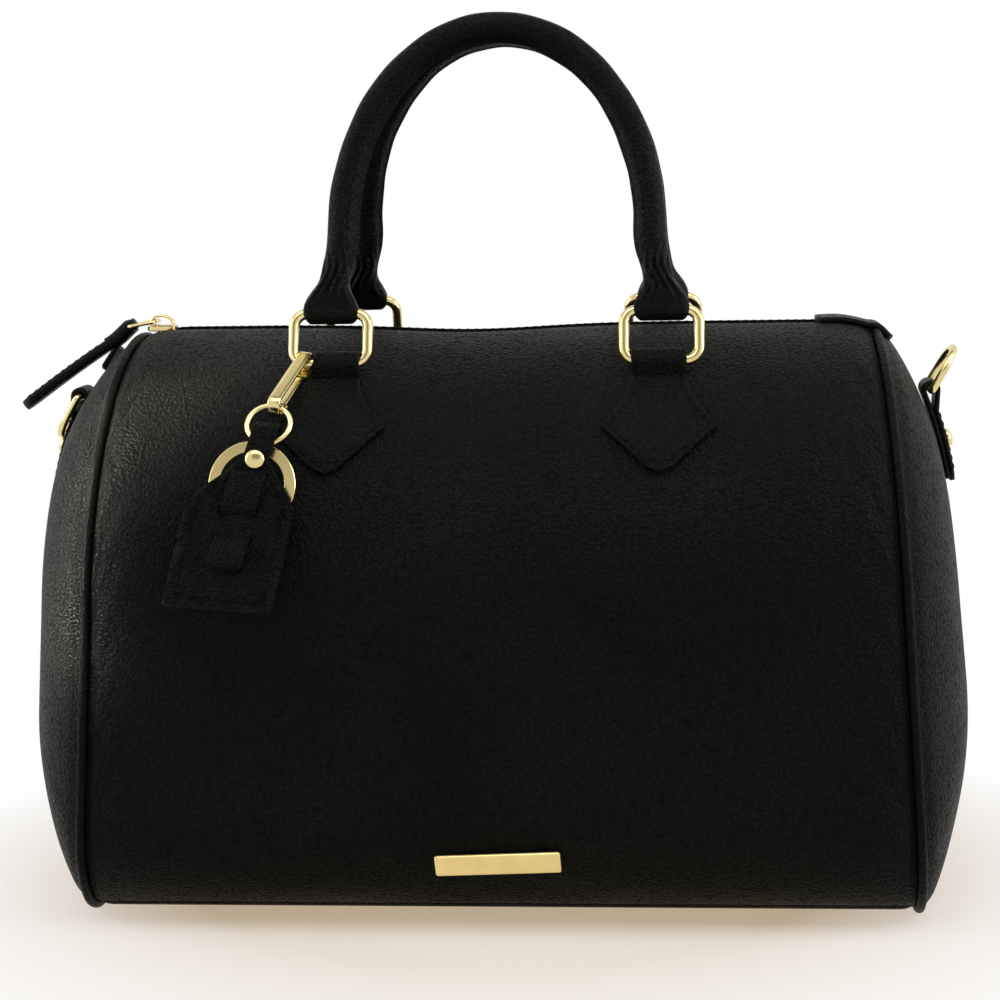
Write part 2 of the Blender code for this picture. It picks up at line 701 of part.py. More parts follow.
def build_slider(parts, cutters):
    """The slider on the chain, its square link and the leather puller."""
    tooth_top = BODY_HEIGHT - ZIP_BAND_THICKNESS - CLEARANCE - TAPE_THICKNESS / 2
    tooth_top += TOOTH_THICKNESS / 2
    under = tooth_top + CLEARANCE
    half = SLIDER_LENGTH / 2
    nose = SLIDER_HALF_WIDTH
    tail = SLIDER_HALF_WIDTH * 0.86
    outline = [(-half, -nose * 0.55), (-half * 0.7, -nose), (half * 0.2, -nose), (half * 0.6, -tail),
               (half, -tail * 0.8)]
    outline += [(x, -y) for x, y in reversed(outline)]
    plate = flat_plate("zip_slider", [outline], SLIDER_PLATE, GOLD, parts)
    plate.data.transform(Matrix.Translation((0, 0, under + SLIDER_PLATE / 2 - BODY_HEIGHT)))
    plate.location = (SLIDER_X, 0.0, BODY_HEIGHT)
    drop = TOOTH_THICKNESS / 4 + CLEARANCE
    flange_inner = TAPE_INNER_Y - CLEARANCE + 2 * CLEARANCE
    for side in (-1, 1):
        size = (SLIDER_LENGTH * 0.55, SLIDER_FLANGE, drop + SLIDER_PLATE / 2)
        centre = (SLIDER_X - SLIDER_LENGTH * 0.06, side * (flange_inner + SLIDER_FLANGE / 2),
                  under - drop / 2 + SLIDER_PLATE / 4)
        flange = box("slider_flange_%d" % side, size, centre, GOLD, cutters)
        boolean(plate, flange, "UNION")
    top = under + SLIDER_PLATE
    hole_height = lug_hole_height() - (top - SINK)
    lug_half = LUG_LENGTH / 2
    height = LUG_HEIGHT + SINK
    profile = [(-lug_half, 0), (lug_half, 0)]
    round_x = lug_half - LUG_ROUND
    round_y = height - LUG_ROUND
    profile += arc((round_x, round_y), LUG_ROUND, 0, 90, 3)
    profile += arc((-round_x, round_y), LUG_ROUND, 90, 180, 3)
    hole = [(x, y + hole_height) for x, y in arc((0, 0), LINK_WIRE / 2 + CLEARANCE, 0, 330, 11)]
    lug = flat_plate("slider_lug", [profile, hole], LUG_WIDTH, GOLD, cutters)
    lug_x = SLIDER_X - LUG_OFFSET
    lug.matrix_world = Matrix.Translation((lug_x, 0.0, top - SINK)) @ Matrix.Rotation(
        math.pi / 2, 4, "X")
    boolean(plate, lug, "UNION")
    pivot = Vector((lug_x, 0.0, lug_hole_height()))
    outline = rounded_rectangle(LINK_LENGTH, LINK_WIDTH, LINK_CORNER)
    wire = [(x - LINK_LENGTH / 2, y, 0.0) for x, y in outline]
    link = tube("pull_link", wire, LINK_WIRE / 2, GOLD, parts, cyclic=True, resolution=1)
    link.location = pivot
    link.rotation_euler = (0.0, math.radians(LINK_RISE), 0.0)
    far = pivot + Vector((-math.cos(math.radians(LINK_RISE)), 0, math.sin(math.radians(LINK_RISE)))
                         ) * LINK_LENGTH
    eye = LINK_WIRE / 2 + CLEARANCE
    head = eye + PULLER_EYE_WALL
    half = PULLER_THICKNESS / 2
    lift = math.degrees(math.asin(half / head))
    profile = arc((0, 0), head, lift, 360 - lift, 12)
    end = PULLER_LENGTH - head
    cut = PULLER_END_CUT
    profile += [(end - cut, -half), (end, -half + cut), (end, half - cut), (end - cut, half)]
    hole = arc((0, 0), eye, 0, 330, 11)
    puller = flat_plate("zip_puller", [profile, hole], PULLER_WIDTH, BLACK_LEATHER, parts)
    puller.data.transform(Matrix.Rotation(math.pi / 2, 4, "X"))
    round_edges(puller, PULLER_EDGE, 1)
    puller.location = far
    puller.rotation_euler = (0.0, math.radians(180 - PULLER_DROOP), 0.0)


def lug_hole_height():
    """Height of the slider's hole, which carries the link."""
    return BODY_HEIGHT + LUG_HOLE_RISE


def build_zip_ends(parts):
    """The closed chain on the fixed stretches, and a leather tab at each end."""
    tape_inset = ZIP_BAND_THICKNESS + CLEARANCE
    tooth_z = BODY_HEIGHT - tape_inset - TAPE_THICKNESS / 2
    fixed_end = zip_fixed_end()
    right_end = fixed_end - ZIP_BRIDGE_RIGHT - CLEARANCE
    for label, start, end in (("left", -fixed_end, ZIP_LEAF_LEFT - CLEARANCE),
                              ("right", ZIP_LEAF_RIGHT + CLEARANCE, right_end)):
        chain = flat_plate("zip_end_chain_" + label, [double_comb(start, end)], TOOTH_THICKNESS,
                           GOLD, parts)
        chain.location.z = tooth_z
    length = fixed_end - END_TAB_RIGHT_START
    outline = rounded_rectangle(length, END_TAB_RIGHT_WIDTH, END_TAB_RIGHT_CORNER)
    tab = flat_plate("zip_end_tab_right", [outline], END_TAB_RIGHT_THICKNESS, BLACK_LEATHER, parts)
    tab.location = (END_TAB_RIGHT_START + length / 2, 0.0,
                    BODY_HEIGHT + CLEARANCE + END_TAB_RIGHT_THICKNESS / 2)
    round_edges(tab, END_TAB_RIGHT_EDGE, 2)
    heights = np.linspace(END_TAB_LEFT_FOOT, END_TAB_LEFT_TOP, 5)
    distance = CLEARANCE + TAB_THICKNESS / 2
    path = [end_surface_offset(z, END_BULGE_LEFT, distance) for z in heights]
    widths = [END_TAB_LEFT_WIDTH / 2 * w for w in (0.8, 1.0, 1.0, 1.0, 1.0)]
    ribbon("zip_end_tab_left", path, widths, TAB_THICKNESS,
           lambda across, a, b: (-a, across, b), BLACK_LEATHER, parts)


def end_surface_offset(height, bulge, distance):
    """Point (out, height) at a distance above the end panel's surface on its middle line."""
    step = 0.0001
    slope = (end_surface_x(height + step, bulge) - end_surface_x(height - step, bulge)) / (2 * step)
    size = math.hypot(1.0, slope)
    return end_surface_x(height, bulge) + distance / size, height - distance * slope / size


def ring_bar(angle):
    """Axis (out, height) of a handle ring's lower bar, seated in its tab on the dome."""
    radius = BARREL_RADIUS + TAB_THICKNESS + RING_WIRE / 2 + 2 * CLEARANCE
    turn = math.radians(angle)
    return radius * math.cos(turn), DOME_CENTRE_Z + radius * math.sin(turn)


def ring_top():
    """Axis (out, height) of a handle ring's upper bar, which carries the handle."""
    out, height = ring_bar(RING_SEAT_ANGLE)
    lean = math.radians(RING_LEAN)
    return out - RING_HEIGHT * math.sin(lean), height + RING_HEIGHT * math.cos(lean)


def tab_half_width(angle):
    """Half width of a handle tab where it lies at an angle on the dome."""
    corner = TAB_CORNER_WIDTH / 2
    tip = TAB_TIP_WIDTH / 2
    if angle <= TAB_CORNER_ANGLE:
        share = (angle - TAB_TIP_ANGLE) / (TAB_CORNER_ANGLE - TAB_TIP_ANGLE)
        half = tip + (corner - tip) * share
        if share < 0.06:
            half *= 0.55 + 7.5 * share
        return half
    share = min(1.0, (angle - TAB_CORNER_ANGLE) / (TAB_NECK_ANGLE - TAB_CORNER_ANGLE))
    neck = TAB_NECK_WIDTH / 2
    return neck + (corner - neck) * (1 - share) ** 1.8


def build_handle_tab(name, side, x, parts):
    """A kite-shaped leather tab that lies on the dome and loops round its ring's lower bar."""
    middle = BARREL_RADIUS + CLEARANCE + TAB_THICKNESS / 2
    span = TAB_LIFT_ANGLE - TAB_TIP_ANGLE
    shares = [0, 0.03, 0.08, 0.16, 0.3]
    angles = [TAB_TIP_ANGLE + span * s for s in shares]
    angles += [TAB_CORNER_ANGLE - 0.6, TAB_CORNER_ANGLE + 0.6]
    angles += list(np.linspace(TAB_CORNER_ANGLE + 2.2, TAB_LIFT_ANGLE, 5))
    surface = []
    for angle in angles:
        turn = math.radians(angle)
        surface.append((middle * math.cos(turn), DOME_CENTRE_Z + middle * math.sin(turn)))
    wrap = RING_WIRE / 2 + CLEARANCE + TAB_THICKNESS / 2
    path = hooked_path(surface, ring_bar(RING_SEAT_ANGLE), wrap, 205, 10)
    widths = [tab_half_width(a) for a in angles]
    widths += [TAB_LOOP_WIDTH / 2] * (len(path) - len(widths))
    ribbon(name, path, widths, TAB_THICKNESS,
           lambda across, a, b: (x - side * across, side * a, b), BLACK_LEATHER, parts)


def build_handles(parts, cutters):
    """Tabs, rings and handles, on the front and again on the rear."""
    for side, label in ((-1, "front"), (1, "rear")):
        for x_side, where in ((-1, "left"), (1, "right")):
            build_handle_tab("handle_tab_%s_%s" % (label, where), side, x_side * TAB_HALF_SPACING,
                             parts)
            outline = rounded_rectangle(RING_WIDTH, RING_HEIGHT, RING_CORNER)
            wire = [(px, 0.0, py + RING_HEIGHT / 2) for px, py in outline]
            ring = tube("handle_ring_%s_%s" % (label, where), wire, RING_WIRE / 2, GOLD, parts,
                        cyclic=True)
            out, height = ring_bar(RING_SEAT_ANGLE)
            ring.location = (x_side * RING_HALF_SPACING, side * out, height)
            ring.rotation_euler = (math.radians(side * RING_LEAN), 0.0, 0.0)
        build_handle("handle_" + label, side, parts, cutters)


def handle_path():
    """Middle line of a handle in its own plane, left leg to right leg, with its distances.

    Each leg rises from the ring's bar and leans in a little; the arch is half an ellipse.
    """
    spring = HANDLE_HEIGHT - ARCH_RISE
    leg = []
    for height in (-0.0036, -0.003, -0.0018, 0.0, 0.003, 0.007, 0.011, 0.015, 0.019, FLARE_HEIGHT,
                   spring - 0.003):
        share = min(1.0, max(0.0, height / spring))
        ease = share * share * (3 - 2 * share)
        leg.append((-RING_HALF_SPACING + (RING_HALF_SPACING - ARCH_HALF_WIDTH) * ease, height))
    arch = []
    for angle in np.linspace(180, 90, 11):
        turn = math.radians(angle)
        arch.append((ARCH_HALF_WIDTH * math.cos(turn), spring + ARCH_RISE * math.sin(turn)))
    left = leg + arch
    return left + [(-x, z) for x, z in reversed(left[:-1])]


def build_handle(name, side, parts, cutters):
    """A rolled leather handle whose ends flatten and fold round the rings' upper bars."""
    path = handle_path()
    fold = RING_WIRE / 2 + CLEARANCE + FLARE_WALL
    sides = 12
    rings = []
    for i, (x, z) in enumerate(path):
        before = path[max(0, i - 1)]
        after = path[min(len(path) - 1, i + 1)]
        dx, dz = after[0] - before[0], after[1] - before[1]
        size = math.hypot(dx, dz)
        across = Vector((dz / size, 0.0, -dx / size))
        share = min(1.0, max(0.0, z / FLARE_HEIGHT))
        ease = share * share * (3 - 2 * share)
        wide = FLARE_WIDTH / 2 + (HANDLE_RADIUS - FLARE_WIDTH / 2) * ease
        deep = fold + (HANDLE_RADIUS - fold) * ease
        if z < 0:
            deep = math.sqrt(fold * fold - z * z)
            across = Vector((math.copysign(1.0, dz), 0.0, 0.0))
        square = 2 / (4.0 - 2.0 * ease)
        ring = []
        for j in range(sides):
            turn = 2 * math.pi * (j + 0.5) / sides
            c, s = math.cos(turn), math.sin(turn)
            u = wide * math.copysign(abs(c) ** square, c)
            v = deep * math.copysign(abs(s) ** square, s)
            ring.append(Vector((x, 0.0, z)) + across * u + Vector((0.0, v, 0.0)))
        rings.append(ring)
    low = Vector((path[0][0], 0.0, -fold))
    high = Vector((path[-1][0], 0.0, -fold))
    handle = mesh_object(name, loft_mesh(name, rings, pole_start=low, pole_end=high),
                         BLACK_LEATHER, parts)
    out, height = ring_top()
    seat = Matrix.Translation((0.0, side * out, height)) @ Matrix.Rotation(
        math.radians(side * HANDLE_LEAN), 4, "X")
    handle.matrix_world = seat
    for x in (-RING_HALF_SPACING, RING_HALF_SPACING):
        bore = rod("%s_bore_%d" % (name, 1 if x > 0 else 0), RING_WIRE / 2 + CLEARANCE,
                   FLARE_WIDTH * 1.5, "X", BLACK_LEATHER, cutters)
        bore.matrix_world = seat @ Matrix.Translation((x, 0.0, 0.0))
        boolean(handle, bore, "DIFFERENCE")


def build_plate(parts):
    """The bare metal plate, seated on the flat facet of the front's lower corner."""
    outline = rounded_rectangle(PLATE_LENGTH, PLATE_HEIGHT, PLATE_CORNER)
    plate = flat_plate("name_plate", [outline], PLATE_THICKNESS, GOLD, parts)
    step = 90 / CORNER_STEPS
    angle = (math.floor(PLATE_CORNER_ANGLE / step) + 0.5) * step
    hollow = CORNER_RADIUS * (1 - math.cos(math.radians(step / 2)))
    inset = hollow - CLEARANCE - PLATE_THICKNESS / 2
    y, z = section_point(-(1 + angle / 90), inset)
    turn = math.radians(angle)
    up = Vector((0.0, -math.cos(turn), math.sin(turn)))
    out = Vector((0.0, -math.sin(turn), -math.cos(turn)))
    axes = Matrix((Vector((1, 0, 0)), up, out)).transposed().to_4x4()
    plate.matrix_world = Matrix.Translation((PLATE_X, y, z)) @ axes @ Matrix.Rotation(
        math.radians(PLATE_TILT), 4, "Z")


def stud_point(bulge, distance):
    """Point (out, height) at a distance above the end panel at the side strap's stud."""
    return end_surface_offset(SIDE_LOOP_HEIGHT - SIDE_STUD_DROP, bulge, distance)


def hanging_angle(bar, bulge, stud_top):
    """Angle from upright at which a side ring hangs from its bar, resting clear of the stud."""
    x, z = stud_point(bulge, stud_top)
    reach = math.hypot(x - bar[0], z - bar[1])
    down = math.degrees(math.atan2(x - bar[0], z - bar[1]))
    lift = math.asin((SIDE_RING_WIRE / 2 + 2 * CLEARANCE) / (reach - SIDE_STUD_RADIUS))
    return down - math.degrees(lift)


def build_side_rings(parts):
    """On each end panel a strap with a domed stud, looped round the bar of a D-ring."""
    distance = CLEARANCE + TAB_THICKNESS / 2
    foot = distance + TAB_THICKNESS / 2 + CLEARANCE
    for side, label, bulge in ((-1, "left", END_BULGE_LEFT), (1, "right", END_BULGE_RIGHT)):
        heights = np.linspace(SIDE_LOOP_HEIGHT - SIDE_TAB_DROP, SIDE_LOOP_HEIGHT - SIDE_LIFT_DROP, 7)
        surface = [end_surface_offset(z, bulge, distance) for z in heights]
        seat = TAB_THICKNESS + 2 * CLEARANCE + SIDE_RING_WIRE / 2
        bar = end_surface_offset(SIDE_LOOP_HEIGHT, bulge, seat)
        wrap = SIDE_RING_WIRE / 2 + CLEARANCE + TAB_THICKNESS / 2
        path = hooked_path(surface, bar, wrap, 205, 10)
        widths = [SIDE_TAB_WIDTH / 2] * len(path)
        widths[0] *= 0.75
        ribbon("side_tab_" + label, path, widths, TAB_THICKNESS,
               lambda across, a, b, s=side: (s * a, s * across, b), BLACK_LEATHER, parts)
        r = SIDE_STUD_RADIUS
        profile = [(0.0, 0.6), (0.55, 0.5), (0.85, 0.25), (1.0, 0.0), (0.9, 0.0), (0.0, 0.0)]
        stud = turned("side_stud_" + label, [(a * r, b * r) for a, b in profile], GOLD, parts)
        x, z = stud_point(bulge, foot)
        stud.location = (side * x, 0.0, z)
        above, _ = stud_point(bulge, foot + 0.001)
        tip = math.acos(min(1.0, (above - x) / 0.001))
        stud.rotation_euler = (0.0, side * (math.pi / 2 - tip), 0.0)
        half = SIDE_RING_WIDTH / 2
        straight = SIDE_RING_DROP - half
        wire = [(0.0, -half, 0.0), (0.0, half, 0.0)]
        wire += [(0.0, y, straight + z) for y, z in arc((0.0, 0.0), half, 0, 180, 10)]
        ring = tube("side_ring_" + label, wire, SIDE_RING_WIRE / 2, GOLD, parts, cyclic=True)
        ring.location = (side * bar[0], 0.0, bar[1])
        angle = SIDE_RING_RIGHT_ANGLE
        if label == "left":
            angle = hanging_angle(bar, bulge, foot + 0.6 * r)
        ring.rotation_euler = (0.0, math.radians(side * angle), 0.0)


def leather_frame(x, angle, height):
    """Frame on the front of the dome: X across, Y uphill, Z away from the leather."""
    turn = math.radians(angle)
    up = Vector((0.0, math.sin(turn), math.cos(turn)))
    out = Vector((0.0, -math.cos(turn), math.sin(turn)))
    axes = Matrix((Vector((1, 0, 0)), up, out)).transposed().to_4x4()
    radius = BARREL_RADIUS + height
    origin = Vector((x, -radius * math.cos(turn), DOME_CENTRE_Z + radius * math.sin(turn)))
    return Matrix.Translation(origin) @ axes


def clip_frame():
    """Frame of the clip at the ring's bar: Y runs up the clip, Z away from the leather."""
    height = TAB_THICKNESS + RING_WIRE / 2 + 2 * CLEARANCE
    tilt = Matrix.Rotation(math.radians(-CLIP_TILT), 4, "Z")
    pitch = Matrix.Rotation(math.radians(-CLIP_PITCH), 4, "X")
    return leather_frame(CLIP_X, RING_SEAT_ANGLE, height) @ tilt @ pitch


def tag_levels():
    """Heights of the middle of each layer above the leather, from the strap's back outwards."""
    levels = {}
    at = TAG_BACK_LAYER
    for name, thickness in (("strap_back", TAG_LEATHER), ("flat_ring", FLAT_RING_THICKNESS),
                            ("back", TAG_BACK_THICKNESS), ("pocket", POCKET_STRAP_THICKNESS),
                            ("front", TAG_LEATHER), ("pocket_top", POCKET_STRAP_THICKNESS)):
        levels[name] = at + thickness / 2
        at += thickness + CLEARANCE
    return levels


def small_ring_top():
    """Where the round ring hangs in the clip's lower end."""
    down = CLIP_LENGTH - CLIP_HOOK - 2 * CLIP_STRIP - SMALL_RING_WIRE / 2 - 2 * CLEARANCE
    return clip_frame() @ Vector((0.0, -down, (CLIP_BACK + CLIP_FRONT) / 2))


def ring_seat():
    """Where the round ring lies in the tag's fold, in the tag's frame."""
    height = tag_levels()["front"] - TAG_LEATHER / 2 - CLEARANCE - SMALL_RING_WIRE / 2
    return Vector((0.0, TAG_RING_SEAT, height))


def tag_frame():
    """Frame of the hanging tag, touching the dome: Y runs up the tag, Z away from the leather.

    The place on the dome is found by halving: it is where the round ring just spans from the
    clip to the tag's fold.
    """
    top = small_ring_top()
    tilt = Matrix.Rotation(math.radians(-TAG_TILT), 4, "Z")
    low, high = -20.0, RING_SEAT_ANGLE
    for _ in range(40):
        angle = (low + high) / 2
        frame = leather_frame(top.x, angle, 0.0) @ tilt
        aside = (frame.inverted() @ top).x / math.cos(math.radians(TAG_TILT))
        frame = leather_frame(top.x + aside, angle, 0.0) @ tilt
        if (frame @ ring_seat() - top).length > SMALL_RING_DIAMETER:
            low = angle
        else:
            high = angle
    return frame


def side_on(obj):
    """Turn a flat plate so that its X runs down local Y, its Y out along Z and its depth on X."""
    turn = Matrix(((0, 0, -1), (-1, 0, 0), (0, 1, 0))).to_4x4()
    obj.data.transform(turn)
    return obj


def build_clip(parts, cutters):
    """The flat spring clip round the ring's bar, with the gate in its inner side."""
    top = -(CLIP_HOOK + CLIP_STRIP)
    foot = top + CLIP_LENGTH
    outer = [(top, CLIP_BACK - CLIP_STRIP), (foot, CLIP_BACK - CLIP_STRIP),
             (foot, CLIP_FRONT + CLIP_STRIP), (top, CLIP_FRONT + CLIP_STRIP)]
    inner = [(top + CLIP_STRIP, CLIP_BACK), (foot - CLIP_STRIP, CLIP_BACK),
             (foot - CLIP_STRIP, CLIP_FRONT), (top + CLIP_STRIP, CLIP_FRONT)]
    clip = side_on(flat_plate("tag_clip", [outer, inner], CLIP_WIDTH, GOLD, parts))
    clip.matrix_world = clip_frame()
    gap = CLEARANCE + GATE_LENGTH / 2
    opening = box("clip_opening", (CLIP_WIDTH * 2, 2 * gap, CLIP_STRIP * 1.5),
                  (0.0, -(GATE_TIP + GATE_LENGTH / 2), CLIP_BACK - CLIP_STRIP / 2), GOLD, cutters)
    opening.matrix_world = clip_frame()
    boolean(clip, opening, "DIFFERENCE")
    round_edges(clip, CLIP_EDGE, 1)
    half = CLIP_STRIP / 2
    pivot = GATE_LENGTH - half
    profile = arc((0.0, 0.0), half, -90, 90, 6) + [(-pivot, half), (-pivot, -half)]
    gate = side_on(flat_plate("clip_gate", [profile], CLIP_WIDTH, GOLD, parts))
    gate.matrix_world = clip_frame() @ Matrix.Translation(
        (0.0, -(GATE_TIP + pivot), CLIP_BACK - half))


def build_small_ring(parts):
    """The round ring between the clip and the tag."""
    upper = small_ring_top()
    up = (upper - tag_frame() @ ring_seat()).normalized()
    across = Vector((1, 0, 0)) - up * up.x
    across.normalize()
    axes = Matrix((across, up, across.cross(up))).transposed().to_4x4()
    radius = SMALL_RING_DIAMETER / 2
    wire = [(x, y - radius, 0.0) for x, y in arc((0.0, 0.0), radius, 0, 342, 19)]
    ring = tube("tag_small_ring", wire, SMALL_RING_WIRE / 2, GOLD, parts, cyclic=True, resolution=1)
    ring.matrix_world = Matrix.Translation(upper) @ axes


def hang(obj, frame, pivot, level):
    """Set a piece of the tag in the tag's frame at a level, with its origin on the pivot."""
    obj.data.transform(Matrix.Translation(Vector((0.0, 0.0, level)) - pivot))
    obj.matrix_world = frame @ Matrix.Translation(pivot)


def build_tag(parts, cutters):
    """The house-shaped tag: front with its strap folded over, back, pocket strap and rivet."""
    levels = tag_levels()
    frame = tag_frame()
    pivot = ring_seat()
    half = TAG_WIDTH / 2
    strap = TAG_STRAP_WIDTH / 2
    fold = (levels["front"] - levels["strap_back"]) / 2
    fold_centre = TAG_FOLD_TOP - TAG_LEATHER / 2 - fold
    cut = TAG_CORNER_CUT
    house = [(-half + cut, TAG_FOOT), (half - cut, TAG_FOOT), (half, TAG_FOOT + cut),
             (half, TAG_SHOULDER), (strap, TAG_APEX)]
    house += [(strap, fold_centre), (-strap, fold_centre), (-strap, TAG_APEX),
              (-half, TAG_SHOULDER), (-half, TAG_FOOT + cut)]
    slots = []
    for middle in (SLOT_UPPER, SLOT_LOWER):
        w = POCKET_STRAP_WIDTH / 2 + CLEARANCE
        h = SLOT_HEIGHT / 2
        slots.append([(-w, middle - h), (-w, middle + h), (w, middle + h), (w, middle - h)])
    hole = arc((0.0, TAG_RIVET), RIVET_SHANK + CLEARANCE, 0, 330, 11)
    front = flat_plate("tag_front", [house, hole] + slots, TAG_LEATHER, BLACK_LEATHER, parts)
    hang(front, frame, pivot, levels["front"])
    middle = (levels["front"] + levels["strap_back"]) / 2
    path = [(fold_centre - 0.0012, levels["front"])]
    path += [(fold_centre + y, middle + x) for x, y in arc((0, 0), fold, 0, 180, 10)]
    path += [(TAG_RIVET + 0.004, levels["strap_back"]), (TAG_RIVET, levels["strap_back"]),
             (TAG_RIVET - 0.004, levels["strap_back"])]
    widths = [strap - 0.0001] * len(path)
    loop = ribbon("tag_strap_loop", path, widths, TAG_LEATHER - 0.0001,
                  lambda across, a, b: (across, a, b), BLACK_LEATHER, cutters)
    loop.matrix_world = frame
    boolean(front, loop, "UNION")
    bore = rod("tag_rivet_bore", RIVET_SHANK + CLEARANCE, TAG_LEATHER * 2, "Z", BLACK_LEATHER,
               cutters)
    bore.matrix_world = frame @ Matrix.Translation((0.0, TAG_RIVET, levels["strap_back"]))
    boolean(front, bore, "DIFFERENCE")
    back_outline = [(-half, TAG_FOOT), (half, TAG_FOOT), (half, TAG_SHOULDER),
                    (TAG_BACK_TOP_WIDTH / 2, TAG_BACK_TOP), (-TAG_BACK_TOP_WIDTH / 2, TAG_BACK_TOP),
                    (-half, TAG_SHOULDER)]
    back = flat_plate("tag_back", [back_outline], TAG_BACK_THICKNESS, BLACK_LEATHER, parts)
    hang(back, frame, pivot, levels["back"])
    ramp = SLOT_HEIGHT * 0.3
    path = [(POCKET_STRAP_TOP, levels["pocket_top"]), (SLOT_UPPER + ramp, levels["pocket_top"]),
            (SLOT_UPPER - ramp, levels["pocket"]), (SLOT_LOWER + ramp, levels["pocket"]),
            (SLOT_LOWER - ramp, levels["pocket_top"]), (POCKET_STRAP_FOOT, levels["pocket_top"])]
    widths = [POCKET_STRAP_WIDTH / 2] * len(path)
    band = ribbon("tag_pocket_strap", path, widths, POCKET_STRAP_THICKNESS,
                  lambda across, a, b: (across, a, b), BLACK_LEATHER, parts)
    hang(band, frame, pivot, 0.0)
    head = levels["front"] + TAG_LEATHER / 2 + CLEARANCE
    r = RIVET_RADIUS
    profile = [(0.0, 0.5 * r), (0.5 * r, 0.42 * r), (0.85 * r, 0.2 * r), (r, 0.0),
               (RIVET_SHANK, 0.0), (RIVET_SHANK, TAG_BACK_LAYER - head), (0.0, TAG_BACK_LAYER - head)]
    rivet = turned("tag_rivet", profile, GOLD, parts)
    rivet.matrix_world = frame @ Matrix.Translation((0.0, TAG_RIVET, head))
    radius = FLAT_RING_OUTER / 2
    outer = arc((0.0, 0.0), radius, 0, 352, 44)
    inner = arc((0.0, 0.0), radius - FLAT_RING_BAND, 0, 352, 44)
    ring = flat_plate("tag_flat_ring", [outer, inner], FLAT_RING_THICKNESS, GOLD, parts)
    ring.matrix_world = frame @ Matrix.Translation((0.0, FLAT_RING_CENTRE, levels["flat_ring"]))


clear_scene()
parts = new_collection("barrel_bag")
cutters = new_collection("cutters")
build_shell(parts)
build_zip(parts, cutters)
build_slider(parts, cutters)
build_zip_ends(parts)
build_handles(parts, cutters)
build_plate(parts)
build_side_rings(parts)
build_clip(parts, cutters)
build_small_ring(parts)
build_tag(parts, cutters)
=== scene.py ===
"""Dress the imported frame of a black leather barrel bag: shell, zip, handles, hardware and tag."""
import math

import bmesh
import bpy
import numpy as np
from bpy.props import FloatProperty, FloatVectorProperty, PointerProperty
from mathutils import Matrix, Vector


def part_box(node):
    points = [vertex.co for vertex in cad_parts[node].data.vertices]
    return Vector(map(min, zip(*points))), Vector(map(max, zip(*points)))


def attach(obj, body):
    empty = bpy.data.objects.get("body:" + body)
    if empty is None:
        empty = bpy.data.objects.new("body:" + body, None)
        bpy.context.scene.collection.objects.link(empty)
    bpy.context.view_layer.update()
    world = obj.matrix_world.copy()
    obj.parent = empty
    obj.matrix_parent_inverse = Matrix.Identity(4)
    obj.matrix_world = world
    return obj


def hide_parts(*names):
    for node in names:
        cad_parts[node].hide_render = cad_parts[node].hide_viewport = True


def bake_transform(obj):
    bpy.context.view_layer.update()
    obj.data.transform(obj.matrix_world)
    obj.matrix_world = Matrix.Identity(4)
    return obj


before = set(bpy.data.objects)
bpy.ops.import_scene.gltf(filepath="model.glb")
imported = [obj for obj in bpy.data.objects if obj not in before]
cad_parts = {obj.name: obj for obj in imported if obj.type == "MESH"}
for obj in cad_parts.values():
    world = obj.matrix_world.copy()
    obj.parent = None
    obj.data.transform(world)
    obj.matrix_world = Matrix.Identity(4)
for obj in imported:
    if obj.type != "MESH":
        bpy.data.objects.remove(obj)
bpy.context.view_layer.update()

bl_info = {
    "name": "Barrel bag",
    "version": (1, 0, 0),
    "blender": (4, 5, 0),
    "location": "View3D > Sidebar > Barrel bag",
    "description": "Leather, zip, handles, rings and tag around the packed solids of a barrel bag",
    "category": "Object",
}

X_AXIS, Y_AXIS, Z_AXIS = np.eye(3)
ENDS = ((-1, "left"), (1, "right"))
FACES = ((-1, "front"), (1, "rear"))

# The barrel, as the solids have it
HEIGHT = 0.208
RADIUS = 0.086
CORNER = 0.042
FLOOR_HALF = RADIUS - CORNER
DOME_Z = HEIGHT - RADIUS
SEAM_HALF_BASE = 0.1485
SEAM_TAPER = 0.0125
END_ROUNDNESS = 3.0
END_CENTRE_Z = 0.105
BULGES = {"left": 0.027, "right": 0.021}
LEATHER = 0.0021
GAP = 0.0003
PIPING = 0.0017
PIPING_INSET = 0.0004
END_OFFSET = PIPING + 0.0011
END_INSET = 0.0010
PANEL_END = PIPING + GAP

# Distances round the section from the middle of the floor: corner, side, dome and top
S_CORNER = FLOOR_HALF
S_SIDE = S_CORNER + CORNER * math.pi / 2
S_DOME = S_SIDE + DOME_Z - CORNER
S_TOP = S_DOME + RADIUS * math.pi / 2
S_BASE_SEAM = S_CORNER + CORNER * math.radians(28)

# The zip: its leaves' hinges, leather bands, tapes and teeth
HINGE_Y = 0.0305
HINGE_GAP = 0.00003
BAND_INNER_Y = 0.008
BAND_THICKNESS = 0.0018
LEAF_LEFT, LEAF_RIGHT = -0.1195, 0.100
ZIP_END = SEAM_HALF_BASE - SEAM_TAPER - PANEL_END
TAPE_Y = (0.0036, 0.013)
TAPE_THICKNESS = 0.0006
TAPE_INSET = BAND_THICKNESS + GAP
TOOTH_PITCH = 0.003
TOOTH_Z = HEIGHT - TAPE_INSET - TAPE_THICKNESS / 2
RAMP = 0.034

